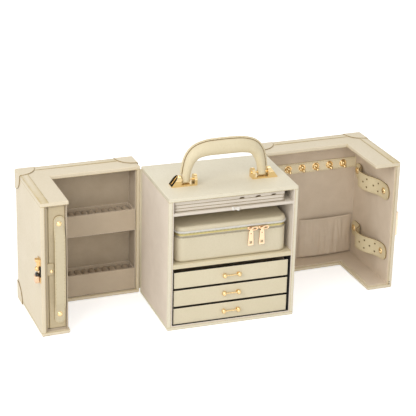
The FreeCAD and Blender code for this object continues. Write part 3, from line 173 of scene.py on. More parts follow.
# Camera: a long lens a little over two metres away, to the trunk's left and above it. It is aimed
# at a point above the cabinet's foot, then slid across and up to frame the open wings.
camera_turn, camera_tilt, camera_roll = math.radians(19.772), math.radians(22.59), math.radians(1.507)
camera_distance, aim_height = 2.26707, 0.09
slide_across, slide_up = -0.012912, 0.056074
forward = Vector((math.sin(camera_turn) * math.cos(camera_tilt),
                  math.cos(camera_turn) * math.cos(camera_tilt), -math.sin(camera_tilt)))
level_right = Vector((math.cos(camera_turn), -math.sin(camera_turn), 0))
level_up = level_right.cross(forward)
across = level_right * math.cos(camera_roll) + level_up * math.sin(camera_roll)
upward = level_up * math.cos(camera_roll) - level_right * math.sin(camera_roll)
lens = bpy.data.cameras.new("camera")
lens.sensor_width = 36
lens.lens = 136.41
lens.clip_start = 0.05
camera = bpy.data.objects.new("camera", lens)
scene.collection.objects.link(camera)
turn = Matrix((across, upward, -forward)).transposed().to_4x4()
spot = Vector((0, 0, aim_height)) - forward * camera_distance + across * slide_across + upward * slide_up
camera.matrix_world = Matrix.Translation(spot) @ turn
scene.camera = camera

# Trunk shell: board wrapped in cream leathercloth, glued down and rolled over the edges. It is a dull
# satin with faint clouds from the glue. A little yellow is painted along the rolled edges: painted shade,
# for the warm shade that the edges take. Its embossed pebble is a millimetre across.


def rolled_edge(tree, place, reach):
    """How near a sharp edge lies: the turn between the true and the rounded normal, broken up."""
    rounded = add(tree, "Bevel", {"samples": 6, "Radius": reach})
    plain = add(tree, "NewGeometry")
    turn = add(tree, "VectorMath", {"operation": "DOT_PRODUCT"},
               {0: rounded, 1: plain.outputs["Normal"]})
    ragged = add(tree, "TexNoise", {"Scale": 1 / (6 * MM), "Detail": 2.0}, {"Vector": place})
    near = add(tree, "MapRange", {"From Min": 0.88, "From Max": 0.996, "To Min": 1.0, "To Max": 0.0},
               {"Value": turn.outputs["Value"]})
    broken = add(tree, "MapRange", {"From Min": 0.3, "From Max": 0.7, "To Min": 0.6, "To Max": 1.0},
                 {"Value": ragged})
    return add(tree, "Math", {"operation": "MULTIPLY"}, {0: near, 1: broken})


def leather(name, code, deep_code, pebble, relief, rough, edge_shade_and_highlight_code="#BFA970", shade_test=None):
    """Embossed leathercloth: colour, colour in the valleys, pebble size in metres, relief, painted edge tone.
    """
    material, tree, place = blank(name)
    cells = add(tree, "TexVoronoi", {"feature": "SMOOTH_F1", "Scale": 1 / pebble, "Smoothness": 0.6,
                                     "Randomness": 0.9}, {"Vector": place})
    crumple = add(tree, "TexNoise", {"Scale": 0.35 / pebble, "Detail": 4.0, "Roughness": 0.6},
                  {"Vector": place})
    clouds = add(tree, "TexNoise", {"Scale": 1 / 0.045, "Detail": 2.0}, {"Vector": place})
    grain = add(tree, "Math", {"operation": "MULTIPLY_ADD", 1: 0.7},
                {0: cells.outputs["Distance"], 2: crumple.outputs["Fac"]})
    valley = add(tree, "MapRange", {"From Min": 0.75, "From Max": 1.15, "To Max": 0.35},
                 {"Value": grain})
    tint = add(tree, "Mix", {"data_type": "RGBA", 6: code, 7: deep_code},
               {0: valley})
    cloud_amount = add(tree, "MapRange", {"From Min": 0.3, "From Max": 0.7, "To Max": 0.3},
                       {"Value": clouds.outputs["Fac"]})
    colour = add(tree, "Mix", {"data_type": "RGBA", 7: deep_code},
                 {0: cloud_amount, 6: tint.outputs[2]})
    # Painted shade along every rolled edge in the edge tone, a warm yellow by default; the drawers' pale tone
    # is a painted highlight.
    painted_edge_light_and_shade = add(tree, "Mix", {"data_type": "RGBA", 7: edge_shade_and_highlight_code},
                 {0: rolled_edge(tree, place, 1.7 * MM), 6: colour.outputs[2]})
    last = painted_edge_light_and_shade.outputs[2]
    # Painted shade: black where the test says yes.
    if shade_test:
        black = add(tree, "Mix", {"data_type": "RGBA", 7: "#1C1712"},
                    {0: shade_test(tree, place), 6: last})
        last = black.outputs[2]
    sheen = add(tree, "MapRange", {"From Min": 0.3, "From Max": 0.8, "To Min": rough - 0.06,
                                   "To Max": rough + 0.08}, {"Value": crumple.outputs["Fac"]})
    bump = add(tree, "Bump", {"Strength": 1.0, "Distance": relief, "invert": True},
               {"Height": grain})
    skin_shader = add(tree, "BsdfPrincipled", {"IOR": 1.47, "Specular IOR Level": 0.4},
                      {"Base Color": last, "Roughness": sheen, "Normal": bump})
    add(tree, "OutputMaterial", {}, {"Surface": skin_shader})
    return material


def dress(material, *nodes):
    """Gives construction nodes their material."""
    for name in nodes:
        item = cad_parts[name]
        if not item.material_slots:
            item.data.materials.append(material)
        for place in item.material_slots:
            place.material = material


def level_top(tree, _):
    """Yes on faces that look straight up: a drawer front's top edge, painted black as the shadow in the gap
    above it.
    """
    plain = add(tree, "NewGeometry")
    parts = add(tree, "SeparateXYZ", {}, {0: plain.outputs["Normal"]})
    return add(tree, "Math", {"operation": "GREATER_THAN", 1: 0.8}, {0: parts.outputs["Z"]})


pebble, relief = 1.1 * MM, 0.045 * MM
shell_leather = leather("cream_leathercloth", "#E4DCC6", "#D6CBB0", pebble, relief, 0.52)
dress(shell_leather, "top_board", "bottom_board", "side_boards", "back_board")
wing_leather = leather("wing_leathercloth", "#E2D5BC", "#D4C6A6", pebble, relief, 0.52)
dress(wing_leather, "left_wing_boards", "left_wing_panels", "left_corner_patches")
dress(wing_leather, "right_wing_boards", "right_wing_panels", "right_corner_patches")
front_leather = leather("front_leathercloth", "#DBCFB1", "#CDC09C", pebble, relief, 0.5)
dress(front_leather, "divider_board")
# The drawer fronts' tops are painted black: painted shadow of the gap above each drawer.
dress(leather("drawer_leathercloth", "#DED3B7", "#D0C4A2", pebble, relief, 0.5, "#EFE6CC", level_top),
      "drawer_front_1", "drawer_front_2", "drawer_front_3")
dress(leather("band_leathercloth", "#F1E4C4", "#E3D4AE", pebble, 0.05 * MM, 0.5), "hook_band")
# The insert's leather is a darker copy of the front's: painted shade, for the shade that the insert, its snap
# tab and the bay lip stand in.
shaded_front_leather = leather("front_leathercloth_in_painted_shade", "#C8B897", "#B6A581", pebble, 0.05 * MM, 0.5)

# Linings: microfibre suede glued to card, cloudy where the nap lies in patches, and matt with a pale
# bloom at grazing angles. Its fibres are too fine to show, so they are drawn as specks 0.9 mm wide.
# The drawer bay behind the fronts, the drawer trays' outsides and the runners are painted near black:
# painted shade for the deep gaps round the drawers.


def suede(name, code, deep_code, shade_test=None, cloudy=0.5, edge_highlight_share=0.45):
    """Microfibre suede; the test adds the nodes that tell where black is painted in as shade."""
    material, tree, place = blank(name)
    nap = add(tree, "TexNoise", {"Scale": 1 / (22 * MM), "Detail": 3.0, "Roughness": 0.55,
                                 "Distortion": 0.4}, {"Vector": place})
    pile = add(tree, "TexNoise", {"Scale": 1 / (0.9 * MM), "Detail": 2.0}, {"Vector": place})
    lie = add(tree, "MapRange", {"From Min": 0.35, "From Max": 0.68, "To Max": cloudy},
              {"Value": nap.outputs["Fac"]})
    base = add(tree, "Mix", {"data_type": "RGBA", 6: code, 7: deep_code},
               {0: lie})
    specks = add(tree, "MapRange", {"From Min": 0.35, "From Max": 0.75, "To Max": 0.35},
                 {"Value": pile.outputs["Fac"]})
    colour = add(tree, "Mix", {"data_type": "RGBA", 7: deep_code},
                 {0: specks, 6: base.outputs[2]})
    last = colour.outputs[2]
    # Painted highlight: the suede is paler along its rolled and folded edges, for the light that their
    # rounded rims catch.
    if edge_highlight_share:
        fold = add(tree, "Math", {"operation": "MULTIPLY", 1: edge_highlight_share},
                   {0: rolled_edge(tree, place, 0.9 * MM)})
        folded = add(tree, "Mix", {"data_type": "RGBA", 7: "#F0E7DA"}, {0: fold, 6: last})
        last = folded.outputs[2]
    # Painted shade: near black where the test says yes.
    if shade_test:
        black = add(tree, "Mix", {"data_type": "RGBA", 7: "#1C1712"},
                    {0: shade_test(tree, place), 6: last})
        last = black.outputs[2]
    bump = add(tree, "Bump", {"Strength": 0.7, "Distance": 0.12 * MM}, {"Height": pile.outputs["Fac"]})
    cloth = add(tree, "BsdfPrincipled", {"Roughness": 0.95, "Specular IOR Level": 0.15, "Sheen Weight": 0.12,
                                         "Sheen Roughness": 0.5},
                {"Base Color": last, "Normal": bump})
    add(tree, "OutputMaterial", {}, {"Surface": cloth})
    return material


def drawer_bay(tree, place):
    """Yes below the divider and behind the front edges of the cards."""
    parts = add(tree, "SeparateXYZ", {}, {0: place})
    low = add(tree, "Math", {"operation": "LESS_THAN", 1: 94 * MM}, {0: parts.outputs["Z"]})
    deep = add(tree, "Math", {"operation": "GREATER_THAN", 1: -64.8 * MM}, {0: parts.outputs["Y"]})
    return add(tree, "Math", {"operation": "MULTIPLY"}, {0: low, 1: deep})


def tray_outside(tree, place):
    """Yes on the outer sides and the back of a drawer tray."""
    parts = add(tree, "SeparateXYZ", {}, {0: place})
    spread = add(tree, "Math", {"operation": "ABSOLUTE"}, {0: parts.outputs["X"]})
    beside = add(tree, "Math", {"operation": "GREATER_THAN", 1: 83.2 * MM}, {0: spread})
    behind = add(tree, "Math", {"operation": "GREATER_THAN", 1: 47.5 * MM}, {0: parts.outputs["Y"]})
    return add(tree, "Math", {"operation": "MAXIMUM"}, {0: beside, 1: behind})


left_wing_shaded_suede = suede("suede_in_painted_shade", "#B9AA94", "#A99982")
pale_suede = suede("pale_suede", "#DED4C5", "#D3C8B8", None, 0.25, 0.0)
# The cabinet lining in the drawer bay and the drawer trays' outsides are painted near black: painted shade
# for the drawer gaps.
dress(suede("cabinet_suede", "#DED3C4", "#D3C7B6", drawer_bay), "cabinet_lining")
dress(suede("drawer_suede", "#D6C8B2", "#C2B299", tray_outside), "drawer_tray_1", "drawer_tray_2",
      "drawer_tray_3")
# The left wing's lining is a darker copy of the right wing's suede: painted shade on the left, painted light
# on the right.
dress(left_wing_shaded_suede, "left_wing_lining", "insert_bay_wall")
dress(suede("trough_suede", "#C6B69F", "#B9A890", None, 0.4, 0.9), "ring_trays")
dress(suede("suede_in_painted_light", "#DACAB5", "#CCBBA4"), "right_wing_lining")
dress(pale_suede, "slot_shelf", "flat_tray", "necklace_board")
dress(shaded_front_leather, "insert_tray")
# The drawer runners are near black too: painted shade.
black_gap_shade = suede("painted_drawer_gap_shade", "#1C1712", "#120E0A")
dress(black_gap_shade, "drawer_runners")

# Fittings: zinc castings and pressed brass, polished and gold plated. The plate is mirror bright
# with faint waves, so it shows the white studio with warm dark gaps.


def plate(name, code, rough):
    """Gold plate with a slight unevenness in its polish."""
    material, tree, place = blank(name)
    waves = add(tree, "TexNoise", {"Scale": 1 / (4 * MM), "Detail": 3.0}, {"Vector": place})
    polish = add(tree, "MapRange", {"From Min": 0.3, "From Max": 0.7, "To Min": rough * 0.7,
                                    "To Max": rough * 1.4}, {"Value": waves.outputs["Fac"]})
    bump = add(tree, "Bump", {"Strength": 0.3, "Distance": 0.05 * MM}, {"Height": waves.outputs["Fac"]})
    metal = add(tree, "BsdfPrincipled", {"Base Color": code, "Metallic": 1.0},
                {"Roughness": polish, "Normal": bump})
    add(tree, "OutputMaterial", {}, {"Surface": metal})
    return material


gold = plate("polished_gold_plate", "#F3D8A4", 0.14)
dress(gold, "handle_brackets", "handle_pins", "handle_bushes", "lock_plate", "lock_lever",
      "necklace_hooks")
satin_gold = plate("satin_gold_plate", "#EACD98", 0.28)
dress(satin_gold, "drawer_pull_1", "drawer_pull_2", "drawer_pull_3")
rose_gold = plate("rose_gold_plate", "#F5D5B0", 0.18)
dress(rose_gold, "zip_sliders", "zip_pull_1", "zip_pull_2", "catch_plate")

# Travel case: finer grained cream leathercloth, with an extruded vinyl piping, smooth and softly
# glossy, sewn in round the base. The zip's woven tape is matt, olive gold above and cream below, and
# its ribs of half a millimetre are drawn at 0.9 mm, so that they show.
case_leather = leather("case_leathercloth", "#D8CDB2", "#CBBE9E", 0.9 * MM, 0.04 * MM, 0.5)
dress(case_leather, "case_base", "case_lid")


def vinyl(name, code):
    """Smooth extruded piping with a soft gloss."""
    material, tree, place = blank(name)
    drift = add(tree, "TexNoise", {"Scale": 1 / (9 * MM), "Detail": 2.0}, {"Vector": place})
    gloss = add(tree, "MapRange", {"From Min": 0.3, "From Max": 0.7, "To Min": 0.22, "To Max": 0.38},
                {"Value": drift.outputs["Fac"]})
    bump = add(tree, "Bump", {"Strength": 0.3, "Distance": 0.1 * MM}, {"Height": drift.outputs["Fac"]})
    body = add(tree, "BsdfPrincipled", {"Base Color": code, "IOR": 1.5, "Coat Weight": 0.3},
               {"Roughness": gloss, "Normal": bump})
    add(tree, "OutputMaterial", {}, {"Surface": body})
    return material


def woven(name, code, thread_code, pitch, low_code=None, low_level=0.0):
    """Ribbed tape: threads cross at the pitch given in metres; its lower part may be another colour."""
    material, tree, place = blank(name)
    along = add(tree, "TexWave", {"bands_direction": "X", "Scale": 0.05 / pitch, "Distortion": 0.4},
                {"Vector": place})
    over = add(tree, "TexWave", {"bands_direction": "Z", "Scale": 0.05 / pitch, "Distortion": 0.4},
               {"Vector": place})
    weave = add(tree, "Math", {"operation": "MULTIPLY"}, {0: along.outputs["Fac"], 1: over.outputs["Fac"]})
    colour = add(tree, "Mix", {"data_type": "RGBA", 6: thread_code, 7: code},
                 {0: weave})
    if low_code:
        parts = add(tree, "SeparateXYZ", {}, {0: place})
        low = add(tree, "Math", {"operation": "LESS_THAN", 1: low_level}, {0: parts.outputs["Z"]})
        colour = add(tree, "Mix", {"data_type": "RGBA", 7: low_code},
                     {0: low, 6: colour.outputs[2]})
    bump = add(tree, "Bump", {"Strength": 0.8, "Distance": 0.15 * MM}, {"Height": weave})
    cloth = add(tree, "BsdfPrincipled", {"Roughness": 0.8, "Specular IOR Level": 0.2},
                {"Base Color": colour.outputs[2], "Normal": bump})
    add(tree, "OutputMaterial", {}, {"Surface": cloth})
    return material


dress(vinyl("grey_piping", "#A69C85"), "base_piping")
dress(woven("zip_tape_weave", "#CFC699", "#BDB384", 0.9 * MM, "#CDC4AE", 141.2 * MM), "zip_tape")

# Zip teeth: pressed brass teeth, one every 1.3 millimetres, clamped to the tape's edges all round
# the case. They are a little dull.


def finish_piece(name, form, body, material, replaced=(), corner=35.0, second=None):
    """Makes one piece of a form: its outward faces, object, shading, materials and body."""
    bmesh.ops.recalc_face_normals(form, faces=form.faces)
    form.normal_update()
    item = mesh_object(name, form)
    item.data.shade_smooth()
    item.data.set_sharp_from_angle(angle=math.radians(corner))
    for finish in filter(None, (material, second)):
        item.data.materials.append(finish)
    if replaced:
        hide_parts(*replaced)
    if body:
        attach(item, body)
    return item


def around(x, y, corner, level, pitch):
    """Points and headings along a rounded rectangle, one pitch apart."""
    centres = [(x[1] - corner, y[0] + corner, -90), (x[1] - corner, y[1] - corner, 0),
               (x[0] + corner, y[1] - corner, 90), (x[0] + corner, y[0] + corner, 180)]
    path = []
    for cx, cy, start in centres:
        for step in range(13):
            angle = math.radians(start + 7.5 * step)
            path.append(Vector((cx + corner * math.cos(angle), cy + corner * math.sin(angle), level)))
    return evenly(path + path[:1], pitch)


def evenly(path, pitch):
    """Points and headings a pitch apart along a chain of points."""
    made, spare = [], pitch / 2
    for start, stop in zip(path, path[1:]):
        run = (stop - start).length
        if run < 1e-9:
            continue
        heading = (stop - start) / run
        while spare < run:
            made.append((start + heading * spare, heading))
            spare += pitch
        spare -= run
    return made


tape_low, tape_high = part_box("zip_tape")
tooth_pitch, tooth_size = 1.3 * MM, (0.75 * MM, 0.7 * MM, 1.9 * MM)
teeth = bmesh.new()
zip_level = (tape_low.z + tape_high.z) / 2
case_corner = 10.6 * MM
for spot, heading in around((tape_low.x, tape_high.x), (tape_low.y, tape_high.y), case_corner, zip_level,
                            tooth_pitch):
    turn = Matrix.Rotation(math.atan2(heading.y, heading.x), 3, "Z")
    bmesh.ops.create_cube(teeth, size=1, matrix=placed(spot, turn, tooth_size))
brass = plate("brass_teeth", "#DCCB8A", 0.35)
finish_piece("zip_teeth", teeth, "travel_case", brass)

# Lid piping: a pearl grey vinyl cord three millimetres thick, sewn in between the lid and its zip
# all round. Its soft gloss draws one pale line over the zip.


def edges_of(made):
    """The edges that meet at the vertices."""
    return list({edge for vertex in made for edge in vertex.link_edges})


def skin(form, rings, segments, closed=False):
    """Joins oval rings into one tube; each ring is the matrix that a unit circle goes through."""
    loops = [edges_of(bmesh.ops.create_circle(form, segments=segments, radius=1, matrix=ring)["verts"])
             for ring in rings]
    for first, second in zip(loops, loops[1:] + loops[:1] if closed else loops[1:]):
        bmesh.ops.bridge_loops(form, edges=first + second)
    for loop in () if closed else (loops[0], loops[-1]):
        bmesh.ops.holes_fill(form, edges=loop, sides=segments)


def cord_along(form, points, radius, segments=8, closed=False):
    """A round cord through a chain of points."""
    ends = (points[-1], points[0]) if closed else (points[0], points[-1])
    chain = [ends[0]] + list(points) + [ends[1]]
    skin(form, [placed(spot, toward(after - before), (radius, radius, 1))
                for before, spot, after in zip(chain, chain[1:], chain[2:])], segments, closed)


lid_low, lid_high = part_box("lid_piping")
piping_radius, piping_level, sewn_in = 1.5 * MM, 146.6 * MM, 1.1 * MM
piping = bmesh.new()
ring = [spot for spot, _ in around((lid_low.x + sewn_in, lid_high.x - sewn_in),
                                   (lid_low.y + sewn_in, lid_high.y - sewn_in), 12 * MM, piping_level,
                                   3 * MM)]
cord_along(piping, ring, piping_radius, 12, True)
finish_piece("pearl_piping", piping, "case_lid", vinyl("pearl_vinyl", "#D3CFC6"),
             ("lid_piping",))

# Slider loops: each zip slider carries a cast loop of rose gold plate beside its pull, which the
# pull hangs on.
loops_form = bmesh.new()
for slider in (26.5, 43.0):
    centre = Vector((slider + 4.6, -65.4, 142.6)) * MM
    path = [centre + Vector((4.6 * math.cos(k * math.pi / 12), 0.0, 2.1 * math.sin(k * math.pi / 12)
                             + 0.5 * math.cos(k * math.pi / 12))) * MM for k in range(24)]
    cord_along(loops_form, path, 1.15 * MM, 10, True)
finish_piece("slider_loops", loops_form, "travel_case", rose_gold)

# Stitching: bonded polyester thread a shade off the leather's, four or five stitches to the
# centimetre, each a small spindle that lies in the surface. It has a soft lustre across its twist.


def spun_thread(name, low_code, high_code, rough):
    """Thread whose plies cross it as slanting bands half a millimetre apart."""
    material, tree, place = blank(name)
    ply = add(tree, "TexWave", {"bands_direction": "DIAGONAL", "Scale": 0.05 / (0.5 * MM)},
              {"Vector": place})
    shade = add(tree, "Mix", {"data_type": "RGBA", 6: low_code, 7: high_code},
                {0: ply.outputs["Fac"]})
    strand = add(tree, "BsdfPrincipled", {"Roughness": rough}, {"Base Color": shade.outputs[2]})
    add(tree, "OutputMaterial", {}, {"Surface": strand})
    return material


def facing(first, second):
    """The turn that lays X along one direction and Y along another."""
    return Matrix((first, second, first.cross(second))).transposed()


def stitch(form, spot, heading, outward, pitch, width):
    """One stitch: a spindle that lies along its heading on a surface."""
    turn = facing(heading, Vector(outward).cross(heading).normalized())
    bmesh.ops.create_icosphere(form, subdivisions=1, radius=1,
                               matrix=placed(spot, turn, (pitch * 0.36, width, width * 0.8)))


def stitch_row(form, path, outward, pitch=2.4 * MM, width=0.32 * MM):
    """A row of stitches along a chain of points; outward is the surface's normal."""
    for spot, heading in evenly(path, pitch):
        stitch(form, spot, heading, outward, pitch, width)


thread = spun_thread("polyester_thread", "#C8B78C", "#E6DBBD", 0.55)
seam = bmesh.new()
case_low, case_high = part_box("case_base")
rim = [spot for spot, _ in around((case_low.x, case_high.x), (case_low.y, case_high.y), 12 * MM,
                                  case_high.z - 3.4 * MM, 4 * MM)]
for spot, heading in evenly(rim + rim[:1], 2.6 * MM):
    stitch(seam, spot, heading, (heading.y, -heading.x, 0), 2.4 * MM, 0.28 * MM)
finish_piece("case_stitching", seam, "travel_case", thread)

# Studs: pressed brass caps, gold plated, over the shanks that hold the straps and the insert's
# carrying strap. Two dull steel closing pins stand in the right wing's front edge.


def dome(form, centre, outward, radius, height, flange=0.0):
    """A low dome on a thin flange, standing on a surface."""
    made = bmesh.ops.create_uvsphere(form, u_segments=20, v_segments=12, radius=radius)["verts"]
    for vertex in made:
        vertex.co.z = max(vertex.co.z, 0) * height / radius
    bmesh.ops.remove_doubles(form, verts=made, dist=1e-7)
    made = [vertex for vertex in made if vertex.is_valid]
    if flange:
        made += bmesh.ops.create_cone(form, cap_ends=True, segments=20, radius1=radius + flange,
                                      radius2=radius + flange * 0.6, depth=height * 0.5)["verts"]
    bmesh.ops.transform(form, matrix=placed(centre, toward(outward)), verts=made)


wing_turns = {"left": (-1, math.radians(88.5)), "right": (1, math.radians(92.2))}


def wing_frame(side):
    """The wing's own frame: from the hinge to the closing edge, from the mouth outwards, up."""
    sign, angle = wing_turns[side]
    along = (sign * math.sin(angle), -math.cos(angle), 0)
    outward = (sign * math.cos(angle), math.sin(angle), 0)
    return (Matrix.Translation((sign * 96 * MM, 66 * MM, 0))
            @ Matrix((along, outward, (0, 0, 1))).transposed().to_4x4())


def on_wing(side, a, b, z):
    """A point given in a wing's own frame, in millimetres."""
    return wing_frame(side) @ (Vector((a, b, z)) * MM)


def wing_way(side, a, b, z):
    """A direction given in a wing's own frame."""
    return (wing_frame(side).to_3x3() @ Vector((a, b, z))).normalized()


def stud(form, side, at, way, radius, height, flange=0.0):
    """A dome in a wing's own frame, in millimetres."""
    dome(form, on_wing(side, *at), wing_way(side, *way), radius * MM, height * MM, flange * MM)


caps = bmesh.new()
for level in (166.5, 30.5):
    stud(caps, "left", (146.2, -91.2, level), (0, -1, 0), 3.4, 1.7, 0.4)
finish_piece("insert_studs", caps, "insert", gold)
for strap, level, far in (("upper_strap", 146.0, -66.0), ("lower_strap", 51.0, -70.0)):
    caps = bmesh.new()
    for b in (21.0, far):
        stud(caps, "right", (163.8, b, level), (-1, 0, 0), 4.6, 2.4, 0.6)
    finish_piece(strap + "_studs", caps, strap, gold)
pins = bmesh.new()
for level in (6.2, 9.4):
    stud(pins, "right", (168.5, -95.15, level), (0, -1, 0), 1.1, 0.25)
finish_piece("closing_pins", pins, "right_wing", plate("nickel_steel", "#6E665C", 0.35))

# Straps: two layers of the front's leathercloth glued back to back, sewn all round, punched for
# earrings, their cut edges painted a glossy brown. Each is held flat at both ends and bows out between.
edge_paint = vinyl("brown_edge_paint", "#8A7044")
strap_leather = leather("strap_leathercloth", "#DCCDA9", "#CCBB93", 1.2 * MM, 0.09 * MM, 0.5)
# Painted shade: dark discs behind the punched holes, so that the holes read dark.
painted_hole_shade = suede("painted_hole_shade_disc", "#3A2D1E", "#2A2015", None, 0.3, 0.0)
# The straps' thread is drawn darker than the case's: painted shade, for the small shadows that show their
# stitches as dots.
shaded_strap_thread = spun_thread("shaded_strap_thread", "#A8946A", "#CDBD93", 0.6)


def bent(moves, pitch):
    """Distance, place, height and heading angle along straight runs and arcs, from a flat start."""
    u, v, angle, gone = 0.0, 0.0, 0.0, 0.0
    made = [(gone, u, v, angle)]
    for size, turn in moves:
        long = abs(size * math.radians(turn)) if turn else size
        steps = max(1, round(long / pitch))
        for _ in range(steps):
            half = math.radians(turn) / steps / 2
            angle += half
            step = 2 * size * abs(math.sin(half)) if turn else long / steps
            u, v, gone = u + step * math.cos(angle), v + step * math.sin(angle), gone + long / steps
            angle += half
            made.append((gone, u, v, angle))
    return made


def bow_moves(lead, run, rise, run_back, tail):
    """The moves of a strap that steps out by rise and back again, with the same arcs as its solid."""
    arcs = []
    for span in (run, run_back):
        radius = (span * span + rise * rise) / (4 * rise)
        arcs.append((radius, math.degrees(math.asin(span / 2 / radius))))
    (out, out_turn), (back, back_turn) = arcs
    return [(lead, 0), (out, out_turn), (out, -out_turn)], [(back, -back_turn), (back, back_turn), (tail, 0)]


def add_cutter(item, form):
    """Cuts a form out of a piece; the cutter is returned, to be removed once the cut is settled."""
    cutter = mesh_object(item.name + "_cutter", form)
    for finish in item.data.materials:
        cutter.data.materials.append(finish)
    cut = item.modifiers.new("cut", "BOOLEAN")
    cut.operation, cut.solver, cut.object = "DIFFERENCE", "EXACT", cutter
    return cutter


def settle(item):
    """Applies a piece's modifiers to its mesh."""
    bpy.context.view_layer.update()
    item.data = bpy.data.meshes.new_from_object(item.evaluated_get(bpy.context.evaluated_depsgraph_get()))
    item.modifiers.clear()


def thicken(item, thick):
    """Gives a sheet its thickness in millimetres, half to each side."""
    layer = item.modifiers.new("thickness", "SOLIDIFY")
    layer.thickness, layer.offset = thick * MM, 0
    return layer


def sewn_strap(name, body, leather_of, moves, frame_of, width, thick, corner, holes, replaced):
    """A strap along its bent path: painted edges, punched holes and a row of stitches all round.

    frame_of takes a point from along, above and across the surface that the strap lies on.
    """
    path_of = bent(moves, 0.5)
    long = path_of[-1][0]
    turn_of = frame_of.to_3x3()

    def at(gone, across):
        """A point of the strap's middle layer, and the directions ahead and out of it."""
        i = min(max(bisect.bisect_left(path_of, (gone,)) - 1, 0), len(path_of) - 2)
        before, after = path_of[i], path_of[i + 1]
        t = (gone - before[0]) / (after[0] - before[0])
        u, v, angle = (p + (q - p) * t for p, q in zip(before[1:], after[1:]))
        ahead = turn_of @ Vector((math.cos(angle), math.sin(angle), 0))
        out = turn_of @ Vector((-math.sin(angle), math.cos(angle), 0))
        return frame_of @ (Vector((u, v, across)) * MM), ahead, out

    def share(t):
        """Distance along the strap for a column of the grid, closer together round the ends."""
        ends, near = 0.14, min(t, 1 - t)
        if near < ends:
            gone = corner * (1 - math.cos(math.pi / 2 * near / ends))
            return gone if t < 0.5 else long - gone
        return corner + (long - 2 * corner) * (t - ends) / (1 - 2 * ends)

    form = bmesh.new()
    bmesh.ops.create_grid(form, x_segments=96, y_segments=10, size=0.5)
    for vertex in form.verts:
        gone = share(vertex.co.x + 0.5)
        inside = corner - min(gone, long - gone, corner)
        half = width / 2 - corner + math.sqrt(max(corner * corner - inside * inside, 0.0))
        vertex.co = at(gone, vertex.co.y * 2 * half)[0]
    strap_piece = finish_piece(name, form, None, leather_of, (), 50, edge_paint)
    thicken(strap_piece, thick).material_offset_rim = 1
    punches, hole_shade_discs = bmesh.new(), bmesh.new()
    for gone, across in holes:
        centre, _, out = at(gone, across)
        bmesh.ops.create_cone(punches, cap_ends=True, segments=20, radius1=1.3 * MM, radius2=1.3 * MM,
                              depth=8 * MM, matrix=placed(centre, toward(out)))
        dome(hole_shade_discs, centre - out * (thick / 2 - 0.1) * MM, out, 1.5 * MM, 0.35 * MM)
    # The holes' walls take the brown edge paint, which keeps them dark: painted shade.
    for face in punches.faces:
        face.material_index = 1
    cutter = add_cutter(strap_piece, punches) if holes else None
    crown = strap_piece.modifiers.new("edge", "BEVEL")
    crown.width, crown.segments = 0.3 * MM, 2
    crown.limit_method, crown.angle_limit = "ANGLE", math.radians(50)
    settle(strap_piece)
    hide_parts(replaced)
    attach(strap_piece, body)
    if holes:
        bpy.data.objects.remove(cutter)
        finish_piece(name + "_hole_shades", hole_shade_discs, body, painted_hole_shade)

    margin, pitch, line = 1.9, 2.5, []
    for middle, side, start_turn in ((long - corner, -1, -90), (long - corner, 1, 0), (corner, 1, 90),
                                     (corner, -1, 180)):
        for step in range(10):
            angle = math.radians(start_turn + 10 * step)
            line.append(Vector((middle + (corner - margin) * math.cos(angle),
                                side * (width / 2 - corner) + (corner - margin) * math.sin(angle), 0)))
    sewn = bmesh.new()
    for mark, heading in evenly(line + line[:1], pitch):
        spot, ahead, out = at(mark.x, mark.y)
        run = (ahead * heading.x + turn_of.col[2] * heading.y).normalized()
        stitch(sewn, spot + out * (thick / 2 + 0.05) * MM, run, out, pitch * MM, 0.32 * MM)
    finish_piece(name + "_stitches", sewn, body, shaded_strap_thread)


for name, level, lead, run, rise, run_back, tail, columns in (
        ("upper", 146.0, 13, 30, 13.5, 50, 18, (-23, -31, -42, -51)),
        ("lower", 51.0, 20, 32, 17.0, 52, 11, (-31, -41, -49, -57))):
    out_moves, back_moves = bow_moves(lead, run, rise, run_back, tail)
    strap_frame = wing_frame("right") @ Matrix(((0, -1, 0, 164.8 * MM), (-1, 0, 0, 29.0 * MM),
                                                (0, 0, 1, level * MM), (0, 0, 0, 1)))
    trail = bent(out_moves + back_moves, 0.5)
    marks = []
    for k, b in enumerate(columns):
        gone = min(trail, key=lambda item: abs(29.0 - item[1] - b))[0]
        marks += [(gone, 0.0)] if k % 2 == 0 and k < 3 else [(gone, 6.3), (gone, -6.3)]
    sewn_strap(name + "_earring_strap", name + "_strap", strap_leather, out_moves + back_moves, strap_frame,
               25.0, 1.8, 11.7, marks, name + "_strap")

out_moves, back_moves = bow_moves(17.05, 18, 3.4, 18, 17.05)
carry_frame = wing_frame("left") @ Matrix(((0, 0, 1, 146.05 * MM), (0, -1, 0, -90.35 * MM),
                                           (1, 0, 0, 16.1 * MM), (0, 0, 0, 1)))
carry_leather = leather("carry_strap_leathercloth", "#CFC2A4", "#C1B391", pebble, relief, 0.5)
sewn_strap("insert_carry_strap", "insert", carry_leather, out_moves + [(92.0, 0)] + back_moves, carry_frame,
           15.5, 1.6, 7.4, (), "insert_strap")

# Bay lip: the bay's edge beside the insert is finished with a folded strip of the front's leather,
# glued over the panel's edge from top to bottom.


def wing_place(side, middle, size):
    """The matrix that gives a unit block or ball its size and place in a wing's own frame."""
    return wing_frame(side) @ placed(Vector(middle) * MM, None, Vector(size) * MM)


def round_edges(form, edges, offset, segments=3):
    """Rounds edges by an offset in millimetres."""
    bmesh.ops.bevel(form, geom=edges, offset=offset * MM, segments=segments, profile=0.5, affect="EDGES",
                    material=-1)


def block_on_wing(form, side, a, b, z, edge):
    """A block with rounded edges in a wing's own frame, from three pairs of limits in millimetres."""
    middle, size = zip(*(((low + high) / 2, high - low) for low, high in (a, b, z)))
    made = bmesh.ops.create_cube(form, size=1, matrix=wing_place(side, middle, size))["verts"]
    round_edges(form, edges_of(made), edge)


lip_form = bmesh.new()
block_on_wing(lip_form, "left", (161.5, 165.1), (-89.8, -83.8), (9.7, 190.7), 0.9)
